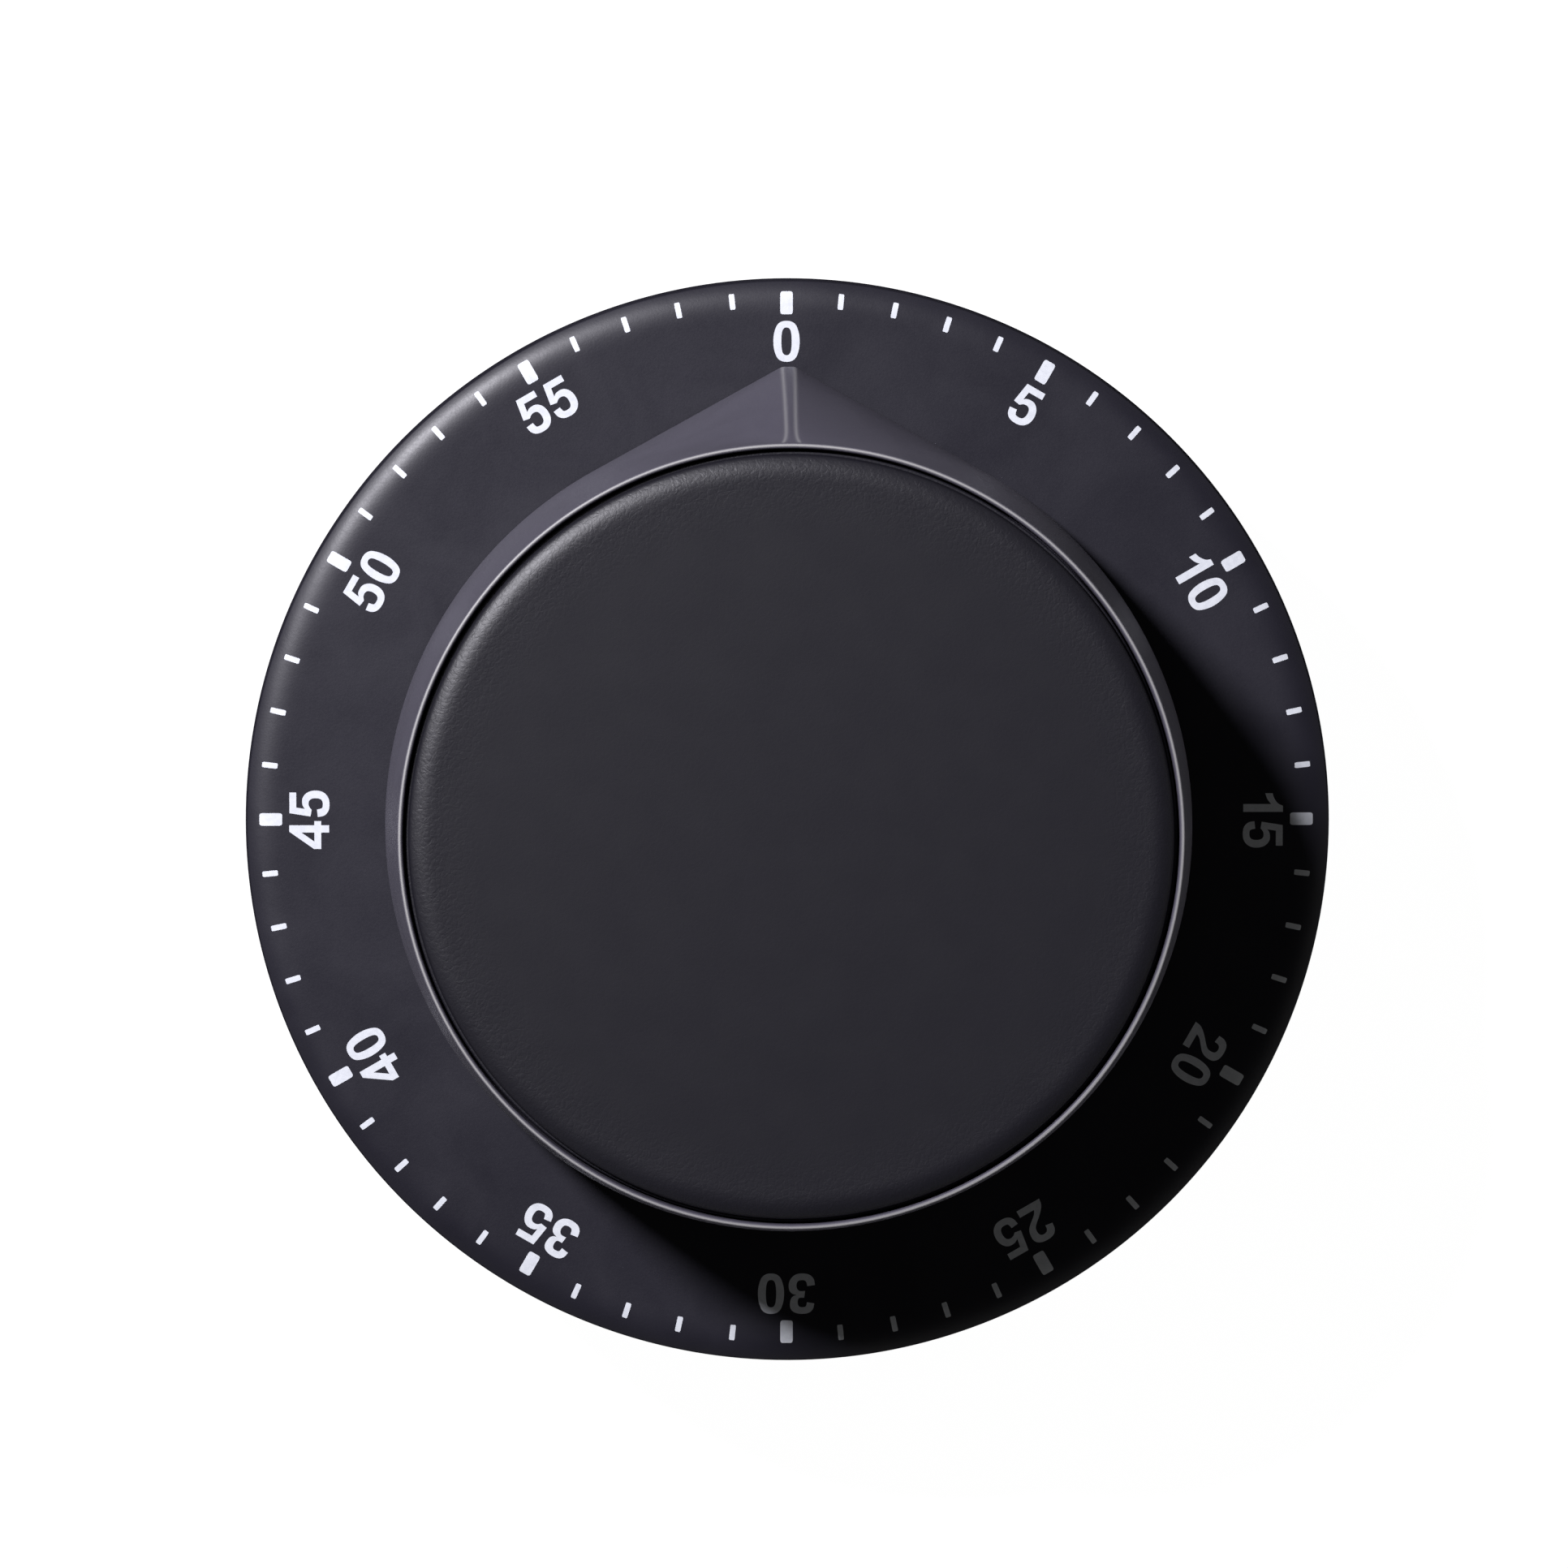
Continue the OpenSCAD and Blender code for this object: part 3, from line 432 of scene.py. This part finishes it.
# ---- Back cover ------------------------------------------------------------------------------------------
# A flat ABS moulding closes the back: sound slots over the bell, seats for the magnets, a groove for the
# foot ring and three counterbored screw holes. Its edges are slightly rounded, as a mould leaves them.
def eased(node, name, width, material):
    """A copy of a node's mesh with doubles merged and flat triangles joined, and its crisp edges rounded."""
    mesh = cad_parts[node].data.copy()
    mesh.name = name
    work = bmesh.new()
    work.from_mesh(mesh)
    bmesh.ops.remove_doubles(work, verts=work.verts, dist=1e-6)
    bmesh.ops.dissolve_limit(work, angle_limit=math.radians(0.5), verts=work.verts, edges=work.edges)
    work.to_mesh(mesh)
    work.free()
    mesh.materials.clear()
    mesh.materials.append(material)
    mesh.polygons.foreach_set("use_smooth", np.ones(len(mesh.polygons), bool))
    mesh.set_sharp_from_angle(angle=math.radians(30))
    obj = bpy.data.objects.new(name, mesh)
    bpy.context.scene.collection.objects.link(obj)
    soften = obj.modifiers.new("rounded_edges", "BEVEL")
    soften.width, soften.segments = width * MM, 2
    soften.limit_method, soften.angle_limit = "ANGLE", math.radians(40)
    soften.use_clamp_overlap = True
    even = obj.modifiers.new("flat_faces_lead", "WEIGHTED_NORMAL")
    even.weight, even.keep_sharp = 100, True
    return obj


cover_black = moulded("cover_black_satin", (0.026, 0.026, 0.029), 0.52, 0.00022, 0.000009)
back_cover = eased("back_cover", "back_cover_moulding", 0.15, cover_black.material)
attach(back_cover, "case")
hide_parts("back_cover")


# ---- Foot ring -------------------------------------------------------------------------------------------
# A soft rubber ring sits in the cover's groove and keeps the case off the table. Its foot is rounded and
# has a shallow groove round the middle.
foot_lo, foot_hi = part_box("rubber_ring")
foot_outer, foot_top = foot_hi.x / MM, foot_hi.z / MM
foot_width = 3
foot_inner, foot_mid = foot_outer - foot_width, foot_outer - foot_width / 2
foot_round = 0.3
rubber = Finish("foot_rubber_black", IOR=1.5)
rubber_grain = rubber.noise(0.00025, 4.0, 0.65)
rubber_dust = rubber.noise(0.004, 3.0)
rubber.colour(rubber.blend(rubber_dust, (0.022, 0.022, 0.022, 1), (0.042, 0.041, 0.040, 1)))
rubber.roughness(rubber.between(rubber_dust, 0.68, 0.82))
rubber.relief(rubber_grain, 0.000012)
foot_profile = np.concatenate([
    arc(foot_inner + foot_round, foot_round, foot_round, 180, 270, 5),
    arc(foot_mid, -0.13, 0.35, 158, 22, 7),
    arc(foot_outer - foot_round, foot_round, foot_round, 270, 360, 5),
    [[foot_outer, foot_top], [foot_inner, foot_top]],
])
foot_ring = build("foot_ring", [turned(foot_profile, 192)], rubber.material)
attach(foot_ring, "case")
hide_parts("rubber_ring")


# ---- Magnets ---------------------------------------------------------------------------------------------
# Three nickel-plated disc magnets are glued into the cover's seats. The plating is bright, with fine
# scratches from steel doors.
def plated(name, colour, roughness, scratch=0.08, wear=0.0):
    """Bright metal: tiny scratches and patches in the gloss, and a little colour drift."""
    f = Finish(name, Metallic=1.0)
    patch = f.noise(0.003, 4.0, 0.6)
    stretched = f.node("Mapping", {"Vector": f.coords, "Scale": (1.0, 14.0, 1.0), "Rotation": (0, 0, 0.4)})
    marks = f.noise(0.0009, 5.0, 0.7, stretched)
    f.colour(f.blend(patch, shade(colour, 0.9 - wear), shade(colour, 1.05)))
    f.roughness(f.between(f.sum_of(patch, marks, 0.8), roughness, roughness + scratch, 0.6, 1.2))
    f.relief(marks, 0.0000012)
    return f


magnet_lo, magnet_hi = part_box("magnets")
nickel = plated("magnet_nickel_bright", (0.72, 0.70, 0.66), 0.16, 0.14)
magnet_z0, magnet_z1 = magnet_lo.z / MM, magnet_hi.z / MM
magnet_r, magnet_round, magnet_ring = 5.5, 0.25, 19
magnet_corner = magnet_r - magnet_round
magnet_profile = np.concatenate([
    [[0, magnet_z0], [3, magnet_z0]], arc(magnet_corner, magnet_z0 + magnet_round, magnet_round, -90, 0, 5),
    arc(magnet_corner, magnet_z1 - magnet_round, magnet_round, 0, 90, 5), [[3, magnet_z1], [0, magnet_z1]]])
magnet_shells = [turned(magnet_profile, 72, (magnet_ring * math.cos(a), magnet_ring * math.sin(a)), closed=False)
                 for a in np.radians([50, 170, 290])]
magnets = build("disc_magnets", magnet_shells, nickel.material)
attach(magnets, "case")
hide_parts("magnets")


# ---- Cover screws ----------------------------------------------------------------------------------------
# Three slotted pan-head screws of zinc-plated steel hold the back cover. Each sits in its counterbore and
# threads into one of the housing's posts.
zinc = plated("screw_zinc", (0.66, 0.67, 0.69), 0.28, 0.16, 0.1)
cover_screws = eased("cover_screws", "cover_screws_slotted", 0.12, zinc.material)
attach(cover_screws, "case")
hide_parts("cover_screws")


# ---- Felt washer -----------------------------------------------------------------------------------------
# A ring of pressed black felt is glued to the dial round the arbor's hole, so that the knob turns quietly
# over it.
felt_lo, felt_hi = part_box("felt_washer")
felt = Finish("felt_black", Sheen_Weight=0.35, Sheen_Roughness=0.5, IOR=1.3)
felt_fibre = felt.noise(0.00012, 6.0, 0.8, distortion=1.5)
felt.colour(felt.blend(felt_fibre, (0.012, 0.012, 0.013, 1), (0.03, 0.03, 0.034, 1)))
felt.roughness(felt.between(felt_fibre, 0.85, 1.0))
felt.relief(felt_fibre, 0.00004)
felt_z0, felt_z1 = felt_lo.z / MM, felt_hi.z / MM
felt_in, felt_out, felt_round = 8.0, felt_hi.x / MM, 0.15
felt_profile = np.concatenate([
    [[felt_in + 0.05, felt_z0], [felt_out - 0.05, felt_z0]],
    arc(felt_out - felt_round, felt_z1 - felt_round, felt_round, 0, 90, 4),
    arc(felt_in + felt_round, felt_z1 - felt_round, felt_round, 90, 180, 4)])
felt_ring = build("felt_ring", [turned(felt_profile, 128)], felt.material)
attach(felt_ring, "case")
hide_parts("felt_washer")


# ---- Bell ------------------------------------------------------------------------------------------------
# A cup drawn from sheet steel, nickel-plated and polished, hangs mouth up on its post behind the sound slots,
# within reach of the hammer.
bell_lo, bell_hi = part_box("bell")
bell_c = ((bell_lo.x + bell_hi.x) / 2 / MM, (bell_lo.y + bell_hi.y) / 2 / MM)
bell_r, bell_z0, bell_z1 = (bell_hi.x - bell_lo.x) / 2 / MM, bell_lo.z / MM, bell_hi.z / MM
bell_t, bell_round, bell_hole = 0.65, 1.6, 1.08
bell_metal = plated("bell_nickel_polished", (0.80, 0.79, 0.76), 0.09, 0.10)
bell_profile = np.concatenate([
    [[bell_hole, bell_z0 + 0.04], [bell_hole + 0.06, bell_z0], [6, bell_z0]],
    arc(bell_r - bell_round, bell_z0 + bell_round, bell_round, -90, 0, 12),
    arc(bell_r - bell_t / 2, bell_z1 - bell_t / 2, bell_t / 2, 0, 180, 9),
    arc(bell_r - bell_round, bell_z0 + bell_round, bell_round - bell_t, 0, -90, 12),
    [[6, bell_z0 + bell_t], [bell_hole + 0.06, bell_z0 + bell_t], [bell_hole, bell_z0 + bell_t - 0.04]]])
bell = build("bell_cup", [turned(bell_profile, 160, bell_c)], bell_metal.material)
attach(bell, "case")
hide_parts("bell")


# ---- Movement --------------------------------------------------------------------------------------------
# Between two stamped brass plates the mainspring drives a train of brass and acetal wheels, which an
# escapement with a rocking balance holds back. The parts keep their own shapes and get their real metals.
def stamped(name, colour, roughness, grain_along=(1.0, 9.0, 1.0)):
    """Sheet metal with rolling marks along one way, dull patches and a faint tarnish."""
    f = Finish(name, Metallic=1.0)
    rolled = f.node("Mapping", {"Vector": f.coords, "Scale": grain_along})
    lines = f.noise(0.0016, 6.0, 0.7, rolled)
    tarnish = f.noise(0.005, 4.0, 0.6)
    f.colour(f.blend(f.between(tarnish, 0, 1, 0.35, 0.7), shade(colour, 1.0), shade(colour, 0.74)))
    f.roughness(f.between(f.sum_of(lines, tarnish, 0.5), roughness - 0.06, roughness + 0.12, 0.4, 1.0))
    f.relief(lines, 0.000002)
    return f


def wrap_in(finish, *nodes):
    """Gives CAD nodes a finish in place of the one that they came with."""
    for node in nodes:
        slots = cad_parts[node].data.materials
        slots.clear()
        slots.append(finish.material)


plate_brass = stamped("plate_brass_rolled", (0.78, 0.62, 0.30), 0.30)
wheel_brass = stamped("wheel_brass_stamped", (0.83, 0.63, 0.25), 0.24, (6.0, 1.0, 1.0))
pressed_steel = stamped("pressed_steel_bright", (0.56, 0.57, 0.59), 0.34)
turned_steel = stamped("turned_steel_rings", (0.68, 0.69, 0.71), 0.20, (1.0, 1.0, 12.0))
spring_steel = stamped("spring_steel_blued", (0.24, 0.27, 0.34), 0.27, (1.0, 1.0, 8.0))
acetal = Finish("acetal_natural", IOR=1.48, Subsurface_Weight=0.12, Subsurface_Scale=0.0006)
acetal_flow = acetal.noise(0.002, 4.0)
acetal.colour(acetal.blend(acetal_flow, (0.78, 0.75, 0.66, 1), (0.86, 0.84, 0.77, 1)))
acetal.roughness(acetal.between(acetal_flow, 0.32, 0.44))
acetal.relief(acetal.noise(0.0002, 3.0), 0.000002)

wrap_in(plate_brass, "front_plate", "back_plate")
wrap_in(wheel_brass, "great_wheel", "release_cam", "second_wheel", "strike_star", "hammer_head")
wrap_in(pressed_steel, "stop_arm", "balance_lever", "hammer_arm", "hammer_tail", "hammer_pallet")
wrap_in(turned_steel, "pillars", "stop_pin", "spring_post", "bell_post", "main_arbor", "second_pinion",
        "third_pinion", "balance_arbor", "pallet_pins", "hammer_arbor")
wrap_in(spring_steel, "mainspring", "hammer_spring", "clutch_spring")
wrap_in(zinc, "pillar_screws", "movement_screws", "bell_screw")
wrap_in(acetal, "third_wheel", "escape_wheel", "escape_pinion")


# ---- Knob ------------------------------------------------------------------------------------------------
# A deep moulded shell turns on the main arbor: round above, and drawn out at its foot to a pointer with a
# narrow flat nose. A thin bead runs round its mouth, its crest painted paler, partly as rubbing wear and partly
# as a painted highlight, and a hub takes the screw. The nose's two corners carry painted highlights.
shell_lo, shell_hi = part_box("knob_shell")
knob_foot, knob_lip = shell_lo.z / MM, shell_hi.z / MM
knob_r, pointer_tip = shell_hi.x / MM, shell_hi.y / MM
lip_r, lip_in = knob_r - 1.4, knob_r - 1.85
knob_edge, land, bead = 0.15, 0.6, 0.2
cap_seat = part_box("knob_cap")[0].z / MM + 2.0
wall_in, knob_floor, hub_top = 24.5, knob_foot + 2, knob_foot + 7.8
arbor_r, arbor_flat = 2.02, 1.52


def smallest(a, b, blend):
    """The smaller of two lengths, rounded off where they are within blend of each other."""
    near = np.clip(blend - np.abs(a - b), 0, None) / blend
    return np.minimum(a, b) - near ** 2 * blend / 4


def teardrop(turn, r, tip, nose_half=0.46, nose_round=0.13):
    """Distance from the axis to a round section drawn out to a flat nose: the nose's plane, then the line from
    its corner that touches the circle, then the circle. turn is measured from the nose."""
    turn = np.abs((turn + np.pi) % (2 * np.pi) - np.pi)
    corner_turn, corner_reach = np.arctan2(nose_half, tip), np.hypot(nose_half, tip)
    touch = corner_turn + np.arccos(np.clip(r / corner_reach, -1, 1))
    nose = tip / np.maximum(np.cos(turn), 0.2)
    line = r / np.maximum(np.cos(touch - turn), 0.2)
    drawn = smallest(nose, np.where(turn < touch, line, r), nose_round)
    return np.maximum(np.where(turn < touch, drawn, r), r)


# Directions round the knob, from the nose: close together at its corners and along the flanks, wider behind.
half_turn = np.radians(np.concatenate([
    np.linspace(0, 0.7, 5), np.linspace(0.8, 2.0, 19), np.linspace(2.3, 6, 9), np.linspace(7, 42, 42),
    np.linspace(44, 178, 68)]))
turn = np.concatenate([half_turn, [np.pi], 2 * np.pi - half_turn[:0:-1]])
from_nose = np.abs((turn + np.pi) % (2 * np.pi) - np.pi)
full = np.ones_like(turn)

# The flanks: the round body's radius, the pointer's reach and half the nose's width change up the knob's height.
rise = 1 - (1 - np.linspace(0, 1, 40)) ** 1.3
stand_out = 1 - rise ** 1.4
section_r = lip_r + (knob_r - lip_r) * (1 - rise ** 1.6)
section_tip = lip_r - 0.012 + (pointer_tip - lip_r + 0.012) * stand_out
nose_halves = 0.33 + 0.13 * stand_out ** 2 + 0.3 * (1 - stand_out) ** 18
flank_z = knob_foot + land + (knob_lip - bead - knob_foot - land) * rise
flank_rows = [(teardrop(turn, *section), z) for *section, z in zip(section_r, section_tip, nose_halves, flank_z)][:-1]

# The rest of the shell, from the hub's bore outwards, over the bead and back down inside to the hub.
foot_line = teardrop(turn, knob_r, pointer_tip)
bore = np.minimum(arbor_r, arbor_flat / np.clip(-np.cos(turn), 0.2, None))
under_rows = [(bore + 0.05, knob_foot), (full * 8, knob_foot), (full * 20, knob_foot), (foot_line * 0.97, knob_foot)]
foot_rows = [(foot_line + r, z) for r, z in arc(-knob_edge, knob_foot + knob_edge, knob_edge, -90, 0, 5)]
bead_angles = np.linspace(0, 180, 19)
bead_rows = [(full * r, z) for r, z in arc(lip_r - bead, knob_lip - bead, bead, 0, 180, len(bead_angles))]
inner_rows = [(full * r, z) for r, z in np.concatenate([
    [[lip_in, cap_seat + 0.1], [lip_in - 0.1, cap_seat], [wall_in + 0.1, cap_seat], [wall_in, cap_seat - 0.1],
     [wall_in, knob_floor + 0.4]],
    arc(wall_in - 0.4, knob_floor + 0.4, 0.4, 0, -90, 5),
    [[12, knob_floor], [5.3, knob_floor], [5.05, knob_floor + 0.2], [4.95, hub_top - 0.15], [4.8, hub_top]]])]
bore_rows = [(bore + 0.1, hub_top), (bore, hub_top - 0.1), (bore, knob_foot + 0.05)]
knob_rows = under_rows + foot_rows + flank_rows + bead_rows + inner_rows + bore_rows
reach = np.stack([r for r, _ in knob_rows])
height = np.array([z for _, z in knob_rows])[:, None] + 0 * turn
knob_points = np.stack([-reach * np.sin(turn), reach * np.cos(turn), height], -1) * MM
knob_shells = [skin(knob_points, wrap_rows=True, wrap_cols=True)]

# Paler lines, as bell curves: painted highlights across the nose's two corners, and round the bead's crest
# a line that is partly rubbing wear and partly a painted highlight.
corner_width, corner_highlight, crest_angle, crest_width = 0.13, 0.30, 80, 24
off_corner = (from_nose - np.arctan2(nose_halves, section_tip)[:, None]) * section_tip[:, None] / corner_width
off_corner = np.concatenate([off_corner[:1]] * len(foot_rows) + [off_corner[:-1]])
first_foot, first_bead = len(under_rows), len(under_rows + foot_rows + flank_rows)
rub_and_highlight = np.zeros(reach.shape)
# Painted highlights: paler lines along the nose's two corners.
rub_and_highlight[first_foot:first_bead] = corner_highlight * np.exp(-off_corner ** 2)
# The bead's crest: partly rubbing wear, partly a painted highlight.
rub_and_highlight[first_bead:first_bead + len(bead_rows)] = np.exp(-((bead_angles - crest_angle) / crest_width) ** 2)[:, None]

# Six ribs join the hub to the wall: each is a loop in (across, above the knob's foot) carried outwards.
rib_loop = np.array([[-0.6, 1.8], [0.6, 1.8], [0.6, 2.0], [0.5, 5.85], [0.4, 5.95], [-0.4, 5.95], [-0.5, 5.85],
                     [-0.6, 2.0]])
rib_run = np.array([4.6, 4.6, 10, 18, 24.7, 24.7])
rib_fat = np.array([0, 1, 1, 1, 1, 0.0])[:, None]
rib_mid = rib_loop.mean(0)
for a in np.radians(np.arange(30, 360, 60)):
    side = rib_mid[0] + (rib_loop[:, 0] - rib_mid[0]) * rib_fat
    up = knob_foot + rib_mid[1] + (rib_loop[:, 1] - rib_mid[1]) * rib_fat
    along = rib_run[:, None] + 0 * side
    knob_shells.append(skin(np.stack([along * math.cos(a) - side * math.sin(a),
                                      along * math.sin(a) + side * math.cos(a), up], -1) * MM, wrap_cols=True))

knob_black = moulded("knob_black_satin", (0.062, 0.058, 0.078), 0.52, 0.00018, 0.000006)
knob_base = knob_black.shader.inputs["Base Color"].links[0].from_socket
# The mask lightens the knob's colour towards pale grey: painted highlight on the nose's corners, painted highlight
# and rubbing wear on the bead's crest.
rub_and_highlight_mask = knob_black.node("Attribute", {}, 2, attribute_name="rub_and_highlight")
knob_black.colour(knob_black.blend(rub_and_highlight_mask, knob_base, (0.36, 0.355, 0.35, 1)))
rib_point_count = sum(len(p) for p, _ in knob_shells[1:])
knob_shell = build("knob_shell_moulding", knob_shells, knob_black.material, 35,
                   np.concatenate([rub_and_highlight.ravel(), np.zeros(rib_point_count)]))
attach(knob_shell, "knob")
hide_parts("knob_shell")


# ---- Knob cap --------------------------------------------------------------------------------------------
# A moulded disc snaps into the knob's mouth and stands just proud of the bead. Its top is almost smooth, its
# edge has a leather grain and rolls off steeply into a narrow groove, and a flange closes the groove below.
cap_lo, cap_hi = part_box("knob_cap")
cap_top, cap_r = cap_hi.z / MM, cap_hi.x / MM
cap_skirt = cap_lo.z / MM
cap_flat, cap_edge, cap_drop, cap_power = cap_r - 2.0, cap_r - 0.25, 0.34, 3.0
cap_slope = math.degrees(math.atan(cap_drop * cap_power / (cap_edge - cap_flat)))
cap_crown = np.linspace(cap_edge, cap_flat, 26)
cap_round = 0.53
flange_top = knob_lip - 0.55
skirt_in, skirt_out, cap_under = 23.2, 24.4, cap_top - 1.6
flange_foot, flange_r = cap_seat + 0.01, cap_r + 0.25
crown_fall = cap_drop * ((cap_crown - cap_flat) / (cap_edge - cap_flat)) ** cap_power
cap_profile = np.concatenate([
    [[0, cap_under], [12, cap_under], [skirt_in - 0.2, cap_under], [skirt_in, cap_under - 0.2],
     [skirt_in, cap_skirt + 0.2], [skirt_in + 0.2, cap_skirt], [skirt_out - 0.2, cap_skirt],
     [skirt_out, cap_skirt + 0.2], [skirt_out, flange_foot], [flange_r - 0.1, flange_foot],
     [flange_r, flange_foot + 0.1], [flange_r, flange_top - 0.08], [flange_r - 0.08, flange_top],
     [cap_r + 0.05, flange_top], [cap_r, flange_top + 0.06]],
    arc(cap_edge - cap_round * math.sin(math.radians(cap_slope)),
        cap_top - cap_drop - cap_round * math.cos(math.radians(cap_slope)), cap_round, 0, 90 - cap_slope, 8),
    np.stack([cap_crown, cap_top - crown_fall], -1)[1:],
    [[18, cap_top], [12, cap_top], [6, cap_top], [0, cap_top]]])

leather = Finish("cap_black_leather_grain", IOR=1.5)
wander = leather.node("TexNoise", {"Vector": leather.coords, "Scale": 900.0, "Detail": 3.0}, "Color")
wander_by = leather.node("VectorMath", {0: wander, 1: (0.00045, 0.00045, 0.00045)}, operation="MULTIPLY")
wandered = leather.node("VectorMath", {0: leather.coords, 1: wander_by}, operation="ADD")
cells = leather.node("TexVoronoi", {"Vector": wandered, "Scale": 2300.0, "Randomness": 1.0}, "Distance",
                     feature="DISTANCE_TO_EDGE")
pebbles = leather.between(cells, 0, 1, 0.0, 0.22)
wrinkles = leather.noise(0.00042, 5.0, 0.65, wandered, 0.8)
patches = leather.noise(0.0035, 3.0, 0.5)
leather.colour(leather.blend(leather.sum_of(pebbles, patches, 0.5), (0.0074, 0.0070, 0.0108, 1),
                             (0.0094, 0.0089, 0.0134, 1)))
leather.roughness(leather.between(leather.sum_of(patches, pebbles, 0.3), 0.485, 0.445, 0.3, 0.9))
level = leather.node("VectorMath", {0: leather.coords, 1: (1.0, 1.0, 0.0)}, operation="MULTIPLY")
out_way = leather.node("VectorMath", {0: level}, "Value", operation="LENGTH")
near_edge = leather.between(out_way, 0.15, 1.0, 0.0215, 0.0255)
grain = leather.node("Math", {0: leather.sum_of(wrinkles, pebbles, 0.18), 1: near_edge}, operation="MULTIPLY")
leather.relief(grain, 0.000022)
cap = build("knob_cap_grained", [turned(cap_profile, 256, closed=False)], leather.material)
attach(cap, "knob")
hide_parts("knob_cap")


# ---- Knob screw ------------------------------------------------------------------------------------------
# A slotted screw of zinc-plated steel holds the knob's hub to the end of the main arbor. The cap snaps in
# over it.
knob_screw = eased("knob_screw", "knob_screw_slotted", 0.15, zinc.material)
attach(knob_screw, "knob")
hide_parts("knob_screw")
